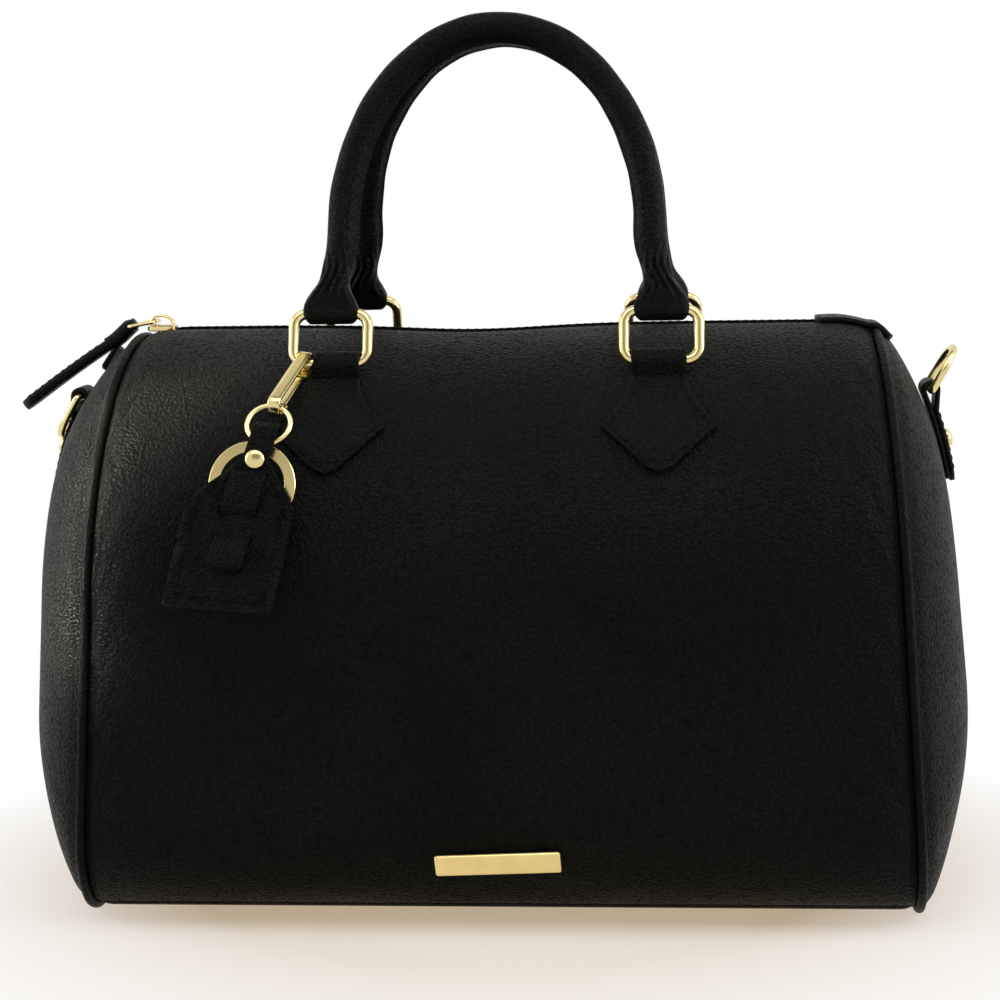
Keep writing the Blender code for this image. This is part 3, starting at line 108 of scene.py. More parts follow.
# Handle rings, their tabs and the handles
RING_X, TAB_X = 0.0585, 0.0575
RING_WIRE = 0.0034
RING_SIZE = (0.0264, 0.0184)
RING_CORNER = 0.0048
SEAT_ANGLE = 57.0
RING_LEAN = 20.0
TAB_THICKNESS = 0.0018
TAB_TIP_ANGLE, TAB_CORNER_ANGLE, TAB_NECK_ANGLE, TAB_LIFT_ANGLE = 27.3, 39.0, 53.0, 53.8
TAB_TIP, TAB_CORNER_WIDTH, TAB_NECK, TAB_LOOP = 0.006, 0.041, 0.020, 0.0194
TAB_LOOP_BY_CLIP = (0.0163, 0.0016)
HANDLE_LEAN = 15.9
HANDLE_HEIGHT, ARCH_HALF, ARCH_RISE = 0.1048, 0.055, 0.074
HANDLE_RADIUS = 0.0052
FLARE = (0.0196, 0.0120)
FLARE_WALL = 0.0018
HANDLE_FOLD = RING_WIRE / 2 + GAP + FLARE_WALL

# The tag's leathers: half width, heights of the foot and the shoulder, and the front's level
TAG_HALF, TAG_FOOT, TAG_SHOULDER, TAG_LEVEL = 0.0186, -0.0257, 0.0114, 0.0069


class LeatherLook(bpy.types.PropertyGroup):
    """Colour and grain of the leather."""

    colour: FloatVectorProperty(name="Colour", description="Dyed leather", subtype="COLOR", size=3,
                                min=0, max=1, default=(0.0011, 0.0014, 0.0010))
    # Lighter leather: rubbed wear in patches, and a painted highlight on the pebble tops and along the
    # worn edges
    sheen: FloatVectorProperty(name="Worn colour", description="Leather where it is rubbed",
                               subtype="COLOR", size=3, min=0, max=1,
                               default=(0.0100, 0.0114, 0.0086))
    roughness: FloatProperty(name="Roughness", description="Gloss of the finish", default=0.44,
                             min=0, max=1)
    grain: FloatProperty(name="Grain", description="Width of one pebble of the grain",
                         default=0.00125, min=0.0003, max=0.01, unit="LENGTH")
    depth: FloatProperty(name="Grain depth", description="Height of the pebbles", default=0.00045,
                         min=0, max=0.002, unit="LENGTH")


class MetalLook(bpy.types.PropertyGroup):
    """Colour and gloss of the hardware."""

    colour: FloatVectorProperty(name="Colour", description="Plating of the hardware",
                                subtype="COLOR", size=3, min=0, max=1, default=(0.80, 0.66, 0.31))
    roughness: FloatProperty(name="Roughness", description="Gloss of the plating", default=0.17,
                             min=0, max=1)


class ClothLook(bpy.types.PropertyGroup):
    """Colours of the lining and the zip tape."""

    lining: FloatVectorProperty(name="Lining", description="Lining cloth", subtype="COLOR", size=3,
                                min=0, max=1, default=(0.055, 0.045, 0.038))
    tape: FloatVectorProperty(name="Zip tape", description="Woven tape of the zip",
                              subtype="COLOR", size=3, min=0, max=1,
                              default=(0.010, 0.010, 0.011))


class FormSizes(bpy.types.PropertyGroup):
    """How far the soft bag leaves its drawn shape."""

    top_sag: FloatProperty(name="Top sag", description="Drop of the top between the handles",
                           default=0.0021, min=0, max=0.01, unit="LENGTH")
    slack: FloatProperty(name="Slack", description="Height of the soft waves in the leather",
                         default=0.0008, min=0, max=0.004, unit="LENGTH")
    shoulder: FloatProperty(name="Shoulder", description="Drop of the barrel's edge at its end seams",
                            default=0.0032, min=0, max=0.008, unit="LENGTH")
    groove: FloatProperty(name="Seam groove", description="Depth of the leather at a turned seam",
                          default=0.0011, min=0, max=0.003, unit="LENGTH")
    crease: FloatProperty(name="Creases", description="Depth of the creases in the handles' ends",
                          default=0.0006, min=0, max=0.002, unit="LENGTH")


class StitchSizes(bpy.types.PropertyGroup):
    """Thread and spacing of the sewing."""

    spacing: FloatProperty(name="Spacing", description="Distance from one stitch to the next",
                           default=0.0031, min=0.001, max=0.01, unit="LENGTH")
    length: FloatProperty(name="Length", description="Length of one stitch", default=0.0023,
                          min=0.0005, max=0.01, unit="LENGTH")
    radius: FloatProperty(name="Thread radius", description="Half the thread's thickness",
                          default=0.00027, min=0.0001, max=0.001, unit="LENGTH")


class BagSettings(bpy.types.PropertyGroup):
    """Everything that the panel shows."""

    leather: PointerProperty(type=LeatherLook)
    metal: PointerProperty(type=MetalLook)
    cloth: PointerProperty(type=ClothLook)
    form: PointerProperty(type=FormSizes)
    stitch: PointerProperty(type=StitchSizes)


def settings():
    """The bag's settings on the scene."""
    return bpy.context.scene.barrel_bag


def smooth(t):
    """Ease from 0 to 1: three t squared less two t cubed, held at its ends."""
    t = np.clip(t, 0.0, 1.0)
    return t * t * (3 - 2 * t)


def unit(v):
    """Vectors divided by their length."""
    return v / np.maximum(np.linalg.norm(v, axis=-1, keepdims=True), 1e-12)


def grid_faces(rows, cols, wrap_rows=False, wrap_cols=False, start=0):
    """Four-sided faces between neighbours of a grid of rows by cols points."""
    r, c = np.meshgrid(np.arange(rows if wrap_rows else rows - 1),
                       np.arange(cols if wrap_cols else cols - 1), indexing="ij")
    r2, c2 = (r + 1) % rows, (c + 1) % cols
    quads = np.stack([r * cols + c, r * cols + c2, r2 * cols + c2, r2 * cols + c], axis=-1)
    return quads.reshape(-1, 4) + start


def capped_faces(rows, cols, start=0):
    """Faces of a grid closed in its columns, with a pole after the grid at each end."""
    quads = grid_faces(rows, cols, wrap_cols=True, start=start).tolist()
    ring = np.arange(cols)
    low = start + rows * cols
    near = np.stack([np.roll(ring, -1) + start, ring + start, np.full(cols, low)], axis=-1)
    last = start + (rows - 1) * cols
    far = np.stack([ring + last, np.roll(ring, -1) + last, np.full(cols, low + 1)], axis=-1)
    return quads + near.tolist() + far.tolist()


def capped(points):
    """Points of a grid closed in its columns, followed by the middles of its two end rings."""
    return np.concatenate([points.reshape(-1, 3), points[:1].mean(1), points[-1:].mean(1)])


def many_capped(blocks):
    """Points and faces of a row of like closed grids, one for each block of the array."""
    count, rows, cols = blocks.shape[:3]
    faces = []
    for i in range(count):
        faces += capped_faces(rows, cols, start=i * (rows * cols + 2))
    return np.concatenate([capped(block) for block in blocks]), faces


def add_mesh(name, verts, faces, look, body, replaces=(), uv=None, edge=None, angle=40.0):
    """A named piece from its points and faces, riding on a body and taking its finish's slot."""
    mesh = bpy.data.meshes.new(name)
    mesh.from_pydata(np.asarray(verts).reshape(-1, 3).tolist(), [],
                     faces.tolist() if isinstance(faces, np.ndarray) else faces)
    mesh.validate()
    if uv is not None:
        loops = np.empty(len(mesh.loops), dtype=np.int64)
        mesh.loops.foreach_get("vertex_index", loops)
        layer = mesh.uv_layers.new(name="UVMap")
        layer.data.foreach_set("uv", np.asarray(uv, dtype=np.float32).reshape(-1, 2)[loops].ravel())
    if edge is not None:
        layer = mesh.attributes.new("Edge", "FLOAT", "POINT")
        layer.data.foreach_set("value", np.asarray(edge, dtype=np.float32).ravel())
    mesh.shade_smooth()
    mesh.set_sharp_from_angle(angle=math.radians(angle))
    piece = bpy.data.objects.new(name, mesh)
    bpy.context.scene.collection.objects.link(piece)
    mesh.materials.append(look)
    if replaces:
        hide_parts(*replaces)
    if body:
        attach(piece, body)
    return piece


def turn_outwards(piece):
    """Make every face of a closed piece point outwards."""
    bm = bmesh.new()
    bm.from_mesh(piece.data)
    bmesh.ops.remove_doubles(bm, verts=bm.verts, dist=0.00001)
    bmesh.ops.recalc_face_normals(bm, faces=bm.faces)
    bm.to_mesh(piece.data)
    bm.free()
    return piece


def thicken(piece, thickness, offset=-1.0):
    """Give an open sheet its thickness, applied to the mesh."""
    modifier = piece.modifiers.new("Thickness", "SOLIDIFY")
    modifier.thickness = thickness
    modifier.offset = offset
    modifier.use_even_offset = True
    graph = bpy.context.evaluated_depsgraph_get()
    mesh = bpy.data.meshes.new_from_object(piece.evaluated_get(graph), preserve_all_data_layers=True,
                                           depsgraph=graph)
    piece.modifiers.clear()
    piece.data = mesh
    mesh.set_sharp_from_angle(angle=math.radians(50))


def set_on(piece, body):
    """Let a piece ride on a body; given a pair of bodies as (start x, end x, first, second), it only sets
    the piece's place into its mesh and leaves it on neither.
    """
    if isinstance(body, tuple):
        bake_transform(piece)
    else:
        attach(piece, body)


def finish_sheet(piece, thickness, body, replaces=()):
    """Thicken a sheet, hide the frame's solids that it stands for and set it on its body, where it has
    one.
    """
    thicken(piece, thickness)
    if replaces:
        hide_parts(*replaces)
    set_on(piece, body)


def node_points(name):
    """The points of a solid of the frame."""
    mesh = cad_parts[name].data
    verts = np.empty(len(mesh.vertices) * 3)
    mesh.vertices.foreach_get("co", verts)
    return verts.reshape(-1, 3)


def half_length(z):
    """Distance from the middle to the end seam: it shrinks evenly with height."""
    return SEAM_HALF_BASE - SEAM_TAPER * z / HEIGHT


def section(s):
    """Point (y, z) and outward normal on the section at a distance s from the floor's middle.

    Flat floor, quarter circle, upright side, quarter circle to the top; negative s is the front.
    """
    side = np.where(s < 0, -1.0, 1.0)
    u = np.abs(s)
    turn = np.clip((u - S_CORNER) / CORNER, 0, math.pi / 2)
    rise = np.clip(u - S_SIDE, 0, DOME_Z - CORNER)
    lean = np.clip((u - S_DOME) / RADIUS, 0, math.pi / 2)
    y = np.minimum(u, FLOOR_HALF) + CORNER * np.sin(turn) - RADIUS * (1 - np.cos(lean))
    z = CORNER * (1 - np.cos(turn)) + rise + RADIUS * np.sin(lean)
    angle = turn + lean
    return side * y, z, side * np.sin(angle), -np.cos(angle)


def dome_s(y):
    """Distance round the section to where the dome is y from the middle line."""
    return S_TOP - RADIUS * math.asin(y / RADIUS)


def bump(x, middle, width):
    """Bell curve: e to the minus square of the distance over the width."""
    return np.exp(-(((x - middle) / width) ** 2))


def slack(s, x):
    """Outward drift of the soft leather: a sag at the top's middle, slow crossed waves, and a
    shoulder that rounds the barrel off towards each end seam as a square of the distance.

    The waves fade out at the end seams, the handle tabs and the tag.
    """
    form = settings().form
    back = np.where(s < 0, 0.0, 1.0)
    to_end = half_length(section(s)[1]) - np.abs(x)
    shoulder = form.shoulder * np.clip(1 - to_end / 0.017, 0, 1) ** 2
    shoulder = shoulder * smooth((np.abs(s) - S_BASE_SEAM) / 0.05)
    sag = -form.top_sag * bump(x, -0.012, 0.036) * smooth((np.abs(s) - 0.245) / 0.05)
    waves = np.sin(38.0 * x + 1.1 + 2.0 * back) * np.sin(31.0 * s + 0.6)
    waves += 0.55 * np.sin(71.0 * x + 24.0 * s + 0.4) + 0.35 * np.sin(54.0 * s - 33.0 * x + 2.0)
    fade = smooth(to_end / 0.025)
    fade = fade * smooth((np.abs(s) - S_BASE_SEAM) / 0.02) * smooth((S_TOP - 0.035 - np.abs(s)) / 0.04)
    tabs = bump(np.abs(x), TAB_X, 0.024) * bump(np.abs(s), S_DOME + RADIUS * math.radians(43), 0.03)
    hang = bump(x, -0.088, 0.03) * bump(s, -(S_DOME + 0.01), 0.045)
    wrinkles = 0.00022 * np.sin(520.0 * (np.abs(x) + 0.55 * np.abs(s))) * bump(to_end, 0.008, 0.006)
    wrinkles = wrinkles * smooth((np.abs(s) - S_SIDE) / 0.02) * smooth((S_TOP - 0.03 - np.abs(s)) / 0.02)
    return (sag - shoulder + wrinkles
            + form.slack * waves * fade * (1 - np.clip(tabs * 1.2 + hang, 0, 1)))


def barrel(s, x, lift=0.0):
    """Points of the soft barrel: the section at s, set x along, moved lift out from its surface."""
    y, z, ny, nz = section(s)
    out = lift + slack(s, x)
    return np.stack([x + 0 * y, y + ny * out, z + nz * out], axis=-1)


def seam_dip(distance, width=0.0022):
    """How far the leather turns down at a seam: a bell curve of the distance from it."""
    return -settings().form.groove * bump(distance, 0.0, width)


def spread(start, end, count):
    """Numbers from start to end, closer together near both ends: a cosine mixed with a line."""
    t = np.linspace(0, 1, count)
    eased = (1 - np.cos(math.pi * t)) / 2
    return start + (end - start) * (0.55 * eased + 0.45 * t)


def panel(name, s_start, s_end, rows, cols, replaces, turned_edges=(1.0, 1.0)):
    """A leather panel round the barrel between two seams, from end seam to end seam.

    turned_edges says how deep its two long edges turn down into their seams; its thickness is
    on the inside.
    """
    s = spread(s_start, s_end, rows)[:, None]
    half = half_length(section(s)[1]) - PANEL_END
    x = spread(-1.0, 1.0, cols)[None, :] * half
    dip = seam_dip(half - np.abs(x)) + turned_edges[0] * seam_dip(s - s_start, 0.0016)
    dip = dip + turned_edges[1] * seam_dip(s - s_end, 0.0016)
    points = barrel(s + 0 * x, x, np.maximum(dip, -settings().form.groove))
    uv = np.stack([x, s + 0 * x], axis=-1)
    piece = add_mesh(name, points, grid_faces(rows, cols), LOOKS["leather"], None,
                     uv=uv)
    piece.data.flip_normals()
    finish_sheet(piece, LEATHER, "bag", replaces)


LOOKS = {}


def group_node(tree, group, place, scale):
    """A shader node group in a tree, at a place and a scale."""
    node = tree.nodes.new("ShaderNodeGroup")
    node.node_tree = group
    node.inputs["Scale"].default_value = scale
    tree.links.new(place, node.inputs["Vector"])
    return node


def new_group(name, *outputs):
    """A shader node group that takes a vector and a scale and gives the named outputs."""
    group = bpy.data.node_groups.new(name, "ShaderNodeTree")
    group.interface.new_socket("Vector", in_out="INPUT", socket_type="NodeSocketVector")
    group.interface.new_socket("Scale", in_out="INPUT", socket_type="NodeSocketFloat")
    for label in outputs:
        group.interface.new_socket(label, in_out="OUTPUT", socket_type="NodeSocketFloat")
    start = group.nodes.new("NodeGroupInput")
    end = group.nodes.new("NodeGroupOutput")
    return group, start, end


def math_node(tree, operation, a, b):
    """A math node with two inputs, each a socket or a number."""
    node = tree.nodes.new("ShaderNodeMath")
    node.operation = operation
    for socket, value in zip(node.inputs, (a, b)):
        if isinstance(value, (int, float)):
            socket.default_value = value
        else:
            tree.links.new(value, socket)
    return node.outputs[0]


def noise_node(tree, vector, scale, detail=3.0, rough=0.5):
    """A noise texture's factor at a scale."""
    node = tree.nodes.new("ShaderNodeTexNoise")
    node.inputs["Scale"].default_value = scale
    node.inputs["Detail"].default_value = detail
    node.inputs["Roughness"].default_value = rough
    tree.links.new(vector, node.inputs["Vector"])
    return node.outputs["Fac"]


def range_node(tree, value, low, high, to_low=0.0, to_high=1.0):
    """Map a value from one range to another, held at its ends."""
    node = tree.nodes.new("ShaderNodeMapRange")
    tree.links.new(value, node.inputs["Value"])
    for name, number in (("From Min", low), ("From Max", high), ("To Min", to_low),
                         ("To Max", to_high)):
        node.inputs[name].default_value = number
    return node.outputs["Result"]


def seen_by_eye(tree):
    """1 where the camera looks, straight or by way of metal or glass, and 0 for light on its way."""
    path = tree.nodes.new("ShaderNodeLightPath")
    mirrored = math_node(tree, "MAXIMUM", path.outputs["Is Glossy Ray"],
                         path.outputs["Is Transmission Ray"])
    return math_node(tree, "MAXIMUM", path.outputs["Is Camera Ray"], mirrored)


def grain_group():
    """Pebbled leather: rounded cells between fine creases, with folds and rubbed patches."""
    group, start, end = new_group("Pebble grain", "Height", "Crease", "Rub")
    vector = start.outputs["Vector"]
    wobble = group.nodes.new("ShaderNodeTexNoise")
    wobble.inputs["Scale"].default_value = 420.0
    wobble.inputs["Detail"].default_value = 1.0
    group.links.new(vector, wobble.inputs["Vector"])
    shift = group.nodes.new("ShaderNodeVectorMath")
    shift.operation = "MULTIPLY_ADD"
    group.links.new(wobble.outputs["Color"], shift.inputs[0])
    shift.inputs[1].default_value = (0.0011, 0.0011, 0.0011)
    group.links.new(vector, shift.inputs[2])
    heights = []
    for share in (1.0, 2.3):
        cells = group.nodes.new("ShaderNodeTexVoronoi")
        cells.feature = "F1"
        cells.inputs["Randomness"].default_value = 0.95
        group.links.new(shift.outputs[0], cells.inputs["Vector"])
        group.links.new(math_node(group, "MULTIPLY", start.outputs["Scale"], share),
                        cells.inputs["Scale"])
        heights.append(range_node(group, cells.outputs["Distance"], 0.1, 0.75, 1.0, 0.0))
    fine = math_node(group, "MULTIPLY", heights[1], 0.28)
    total = math_node(group, "ADD", math_node(group, "MULTIPLY", heights[0], 0.72), fine)
    group.links.new(total, end.inputs["Height"])
    group.links.new(range_node(group, heights[0], 0.0, 0.45, 1.0, 0.0), end.inputs["Crease"])
    rub = noise_node(group, vector, 14.0, 4.0, 0.6)
    group.links.new(range_node(group, rub, 0.42, 0.72), end.inputs["Rub"])
    return group


def scuff_group():
    """Fine scratches and cloudy smears for metal and other hard finishes."""
    group, start, end = new_group("Scuffs", "Scratch", "Smear")
    vector = start.outputs["Vector"]
    stretch = group.nodes.new("ShaderNodeMapping")
    stretch.inputs["Scale"].default_value = (1.0, 6.0, 18.0)
    group.links.new(vector, stretch.inputs["Vector"])
    lines = group.nodes.new("ShaderNodeTexNoise")
    lines.inputs["Detail"].default_value = 6.0
    group.links.new(stretch.outputs["Vector"], lines.inputs["Vector"])
    group.links.new(start.outputs["Scale"], lines.inputs["Scale"])
    group.links.new(range_node(group, lines.outputs["Fac"], 0.55, 0.75), end.inputs["Scratch"])
    smear = noise_node(group, vector, 70.0, 3.0, 0.6)
    group.links.new(range_node(group, smear, 0.35, 0.7), end.inputs["Smear"])
    return group


def weave_group():
    """Plain weave: threads crossing at right angles, with a little unevenness."""
    group, start, end = new_group("Weave", "Thread")
    parts = []
    for direction in ("X", "Y"):
        wave = group.nodes.new("ShaderNodeTexWave")
        wave.bands_direction = direction
        wave.inputs["Distortion"].default_value = 0.6
        wave.inputs["Detail"].default_value = 1.0
        group.links.new(start.outputs["Vector"], wave.inputs["Vector"])
        group.links.new(start.outputs["Scale"], wave.inputs["Scale"])
        parts.append(wave.outputs["Fac"])
    group.links.new(math_node(group, "MAXIMUM", parts[0], parts[1]), end.inputs["Thread"])
    return group


def new_look(name):
    """A material with its shader, its tree and its object coordinates."""
    look = bpy.data.materials.new(name)
    look.use_nodes = True
    tree = look.node_tree
    tree.nodes.clear()
    out = tree.nodes.new("ShaderNodeOutputMaterial")
    shader = tree.nodes.new("ShaderNodeBsdfPrincipled")
    tree.links.new(shader.outputs["BSDF"], out.inputs["Surface"])
    place = tree.nodes.new("ShaderNodeTexCoord").outputs["Object"]
    return look, tree, shader, place


def mix_colour(tree, factor, low, high):
    """A colour between two others by a factor; low may be a socket."""
    mix = tree.nodes.new("ShaderNodeMix")
    mix.data_type = "RGBA"
    tree.links.new(factor, mix.inputs["Factor"])
    if isinstance(low, bpy.types.NodeSocket):
        tree.links.new(low, mix.inputs[6])
    else:
        mix.inputs[6].default_value = (*low, 1.0)
    mix.inputs[7].default_value = (*high, 1.0)
    return mix.outputs[2]


def bump_node(tree, height, distance, strength, shader):
    """Bump the shader's normal by a height in metres."""
    node = tree.nodes.new("ShaderNodeBump")
    node.inputs["Distance"].default_value = distance
    node.inputs["Strength"].default_value = strength
    tree.links.new(height, node.inputs["Height"])
    tree.links.new(node.outputs["Normal"], shader.inputs["Normal"])


def leather_look(name, grain_share, gloss_shift, grain, edge_wear_and_highlight=False):
    """Black pebbled leather; grain_share scales its pebbles' height. Its colour is partly rubbed wear and
    partly painted light: lighter on the pebble tops as a painted highlight, darker in the creases as
    painted shade, and, with the edge option, lighter at the edges as wear and a painted highlight.
    """
    look, tree, shader, place = new_look(name)
    leather = settings().leather
    cells = group_node(tree, grain, place, 1.0 / leather.grain)
    worn_in = range_node(tree, cells.outputs["Rub"], 0.0, 1.0, 0.4, 1.0)
    rub_and_painted_highlight = math_node(tree, "MULTIPLY", worn_in, cells.outputs["Height"])
    # Painted highlight on the pebble tops and painted shade in the creases, mixed with rubbed wear in
    # random patches
    colour = mix_colour(tree, rub_and_painted_highlight, leather.colour, leather.sheen)
    if edge_wear_and_highlight:
        edge_attribute = tree.nodes.new("ShaderNodeAttribute")
        edge_attribute.attribute_name = "Edge"
        edge_rub_and_highlight = math_node(tree, "MULTIPLY", edge_attribute.outputs["Fac"], cells.outputs["Rub"])
        # Lighter edges: rubbed wear and a painted highlight along them
        colour = mix_colour(tree, edge_rub_and_highlight, colour, tuple(1.5 * c for c in leather.sheen))
    tree.links.new(colour, shader.inputs["Base Color"])
    rough = math_node(tree, "ADD", math_node(tree, "MULTIPLY", cells.outputs["Crease"], 0.22),
                      leather.roughness + gloss_shift)
    rough = math_node(tree, "SUBTRACT", rough, math_node(tree, "MULTIPLY", cells.outputs["Rub"], 0.07))
    tree.links.new(rough, shader.inputs["Roughness"])
    shader.inputs["Specular IOR Level"].default_value = 0.06
    bump_node(tree, cells.outputs["Height"], leather.depth * grain_share, 1.0, shader)
    return look


def metal_look(name, roughness, brushed, scuffs, pale=1.0):
    """Pale gold plate; brushed raises the fine lines and pale lightens the colour."""
    look, tree, shader, place = new_look(name)
    metal = settings().metal
    marks = group_node(tree, scuffs, place, 90.0)
    bright = tuple(min(0.98, pale * c) for c in metal.colour)
    dull = tuple(0.86 * c for c in bright)
    tree.links.new(mix_colour(tree, marks.outputs["Smear"], bright, dull),
                   shader.inputs["Base Color"])
    shader.inputs["Metallic"].default_value = 1.0
    rough = math_node(tree, "ADD", math_node(tree, "MULTIPLY", marks.outputs["Scratch"], 0.08),
                      math_node(tree, "MULTIPLY", marks.outputs["Smear"], 0.05))
    tree.links.new(math_node(tree, "ADD", rough, roughness), shader.inputs["Roughness"])
    bump_node(tree, marks.outputs["Scratch"], 0.00002, brushed, shader)
    return look


def cloth_look(name, colour, scale, weave):
    """Woven cloth in one colour, with painted shade between its threads."""
    look, tree, shader, place = new_look(name)
    threads = group_node(tree, weave, place, scale)
    # Painted shade in the gaps between the threads
    painted_gap_shade = tuple(0.45 * c for c in colour)
    tree.links.new(mix_colour(tree, threads.outputs["Thread"], painted_gap_shade, tuple(colour)),
                   shader.inputs["Base Color"])
    tree.links.new(range_node(tree, threads.outputs["Thread"], 0.0, 1.0, 0.95, 0.8),
                   shader.inputs["Roughness"])
    bump_node(tree, threads.outputs["Thread"], 0.0001, 0.6, shader)
    return look


def make_looks():
    """The finishes that the pieces share."""
    grain, scuffs, weave = grain_group(), scuff_group(), weave_group()
    cloth = settings().cloth
    rough = settings().metal.roughness
    LOOKS["leather"] = leather_look("Black leather", 1.0, 0.0, grain)
    LOOKS["smooth"] = leather_look("Black leather trim", 0.55, -0.04, grain, edge_wear_and_highlight=True)
    LOOKS["tag"] = leather_look("Black leather tag", 1.8, -0.04, grain, edge_wear_and_highlight=True)
    LOOKS["thread"] = leather_look("Black thread", 0.3, 0.12, grain)
    LOOKS["gold"] = metal_look("Pale gold", rough, 0.1, scuffs)
    LOOKS["satin"] = metal_look("Satin gold", rough + 0.13, 0.5, scuffs, 1.22)
    LOOKS["lining"] = cloth_look("Lining cloth", cloth.lining, 900.0, weave)
    LOOKS["tape"] = cloth_look("Zip tape", cloth.tape, 1500.0, weave)
    LOOKS["board"] = cloth_look("Base board", (0.09, 0.08, 0.07), 300.0, weave)


def loop_s(count):
    """Distances all the way round the section, from the top down the front to the top."""
    return np.linspace(-S_TOP, S_TOP, count, endpoint=False)


def tube(name, centres, radius, look, body, sides, replaces):
    """A round bar along a closed line of points that lies nearly in a plane."""
    tangent = unit(np.roll(centres, -1, 0) - np.roll(centres, 1, 0))
    plane_normal = np.linalg.svd(centres - centres.mean(0))[2][2]
    side = unit(np.cross(tangent, plane_normal))
    up = np.cross(side, tangent)
    angle = np.linspace(0, 2 * math.pi, sides, endpoint=False)[None, :, None]
    points = centres[:, None] + radius * (np.cos(angle) * side[:, None] + np.sin(angle) * up[:, None])
    faces = grid_faces(len(centres), sides, wrap_rows=True, wrap_cols=True)
    turn_outwards(add_mesh(name, points, faces, look, body, replaces, angle=60.0))


def strap(name, centres, across, normals, half_widths, thickness, look, body, replaces=(),
          groove=None, flats=13, ends=5):
    """A leather strap with rounded edges along a line of points.

    Its cross-section is a stadium: flats points over each face and ends points round each edge;
    groove is how far inside the edge the sewing pulls the face down.
    """
    half = thickness / 2
    flat = np.linspace(-1, 1, flats)
    turn = np.linspace(math.pi / 2, -math.pi / 2, ends + 2)[1:-1]
    a = np.concatenate([flat, np.ones(ends), flat[::-1], -np.ones(ends)])
    b = np.concatenate([0 * flat, np.cos(turn), 0 * flat, -np.cos(turn)])
    c = np.concatenate([0 * flat + 1, np.sin(turn), 0 * flat - 1, -np.sin(turn)])
    width = np.maximum(np.broadcast_to(half_widths, len(centres)), half * 1.05)[:, None]
    u = (width - half) * a + half * b
    v = half * c + 0 * u
    if groove:
        dip = bump(width - np.abs(u), groove, 0.0005) * (c > 0.99)
        v = v - 0.00013 * dip
    points = centres[:, None] + across * u[..., None] + normals[:, None] * v[..., None]
    # Share of the rim, which the trim and tag leathers lighten as rubbed wear and a painted highlight
    edge = np.clip(1 - (width - np.abs(u)) / 0.0012, 0, 1)
    edge = np.concatenate([edge.ravel(), [0.5, 0.5]])
    piece = add_mesh(name, capped(points), capped_faces(len(centres), u.shape[1]), look, body,
                     replaces, edge=edge, angle=50.0)
    return turn_outwards(piece)


def along_line(points):
    """Distance along a line to each of its points."""
    return np.concatenate([[0], np.cumsum(np.linalg.norm(np.diff(points, axis=0), axis=1))])


def resample(points, step, count=None):
    """Points at even steps along a line, by the step's length or by their count."""
    along = along_line(points)
    if count is None:
        count = max(2, int(along[-1] / step))
    at = np.linspace(0, along[-1], count)
    return np.stack([np.interp(at, along, points[:, k]) for k in range(points.shape[1])], axis=1)


def smooth_line(points, count, rounds=2):
    """A line made smooth by cutting its corners, at even steps; its ends stay."""
    line = np.asarray(points, dtype=float)
    for _ in range(rounds):
        near = 0.75 * line[:-1] + 0.25 * line[1:]
        far = 0.25 * line[:-1] + 0.75 * line[1:]
        line = np.concatenate([line[:1], np.stack([near, far], axis=1).reshape(-1, line.shape[1]),
                               line[-1:]])
    return resample(line, None, count)


def stitches(name, centres, normals, body, spacing=None):
    """A row of sewn stitches along a line: each is a rounded thread, thin at its two ends."""
    sizes = settings().stitch
    packed = np.concatenate([centres, np.broadcast_to(normals, centres.shape)], axis=1)
    along = along_line(centres)
    count = max(1, int(along[-1] / (spacing or sizes.spacing)))
    middle = (np.arange(count) + 0.5) * along[-1] / count
    t = np.linspace(-1, 1, 7)
    at = middle[:, None] + t[None, :] * sizes.length / 2
    line = np.stack([np.interp(at, along, packed[:, k]) for k in range(6)], axis=-1)
    core, out = line[..., :3], unit(line[..., 3:])
    tangent = unit(np.gradient(core, axis=1))
    side = unit(np.cross(tangent, out))
    lift = (0.0001 - 0.00035 * t**4)[None, :, None]
    core = core + out * lift
    angle = np.linspace(0, 2 * math.pi, 6, endpoint=False)
    girth = (sizes.radius * np.sqrt(np.clip(1.04 - t**4, 0.05, 1)))[None, :, None, None]
    ring = np.cos(angle)[:, None] * side[:, :, None] + np.sin(angle)[:, None] * out[:, :, None]
    verts, faces = many_capped(core[:, :, None] + girth * ring)
    return add_mesh(name, verts, faces, LOOKS["thread"], body, angle=60.0)


def end_points(side, share, s, inset=0.0):
    """Points of an end panel: the section shrunk by share towards its middle, and bulged out."""
    bulge = BULGES["left" if side < 0 else "right"]
    y, z, ny, nz = section(s)
    y, z = y - ny * END_INSET, z - nz * END_INSET
    soft = slack(s, side * SEAM_HALF_BASE) * share**6
    y = y * share + ny * soft
    z = END_CENTRE_Z + (z - END_CENTRE_Z) * share + nz * soft
    rise = bulge * (1 - share**END_ROUNDNESS)
    dents = np.sin(33.0 * y + 0.8 + side) * np.sin(29.0 * z - 0.5) + 0.6 * np.sin(52.0 * z + 47.0 * y)
    rise = rise + settings().form.slack * dents * smooth((1 - share) / 0.35)
    rise = rise + seam_dip((1 - share) * RADIUS, 0.0020)
    return np.stack([side * (half_length(z) + END_OFFSET + rise - inset), y, z], axis=-1)


def end_sheet(name, side, share, cols, inset, look, thickness, replaces=(), pole=None):
    """A domed sheet over one end: rings of end points from the seam inwards, closed by a pole.

    Without a pole of its own, the middle of its last ring closes it.
    """
    rows = len(share)
    points = end_points(side, share[:, None], loop_s(cols)[None, :], inset)
    pole = points[-1:].mean(1) if pole is None else pole
    ring = np.arange(cols) + (rows - 1) * cols
    faces = grid_faces(rows, cols, wrap_cols=True).tolist()
    faces += np.stack([ring, np.roll(ring, -1), np.full(cols, rows * cols)], axis=-1).tolist()
    piece = add_mesh(name, np.concatenate([points.reshape(-1, 3), pole]), faces, look, None)
    turn_outwards(piece)
    if piece.data.polygons[-1].normal.x * side < 0:
        piece.data.flip_normals()
    finish_sheet(piece, thickness, "bag", replaces)


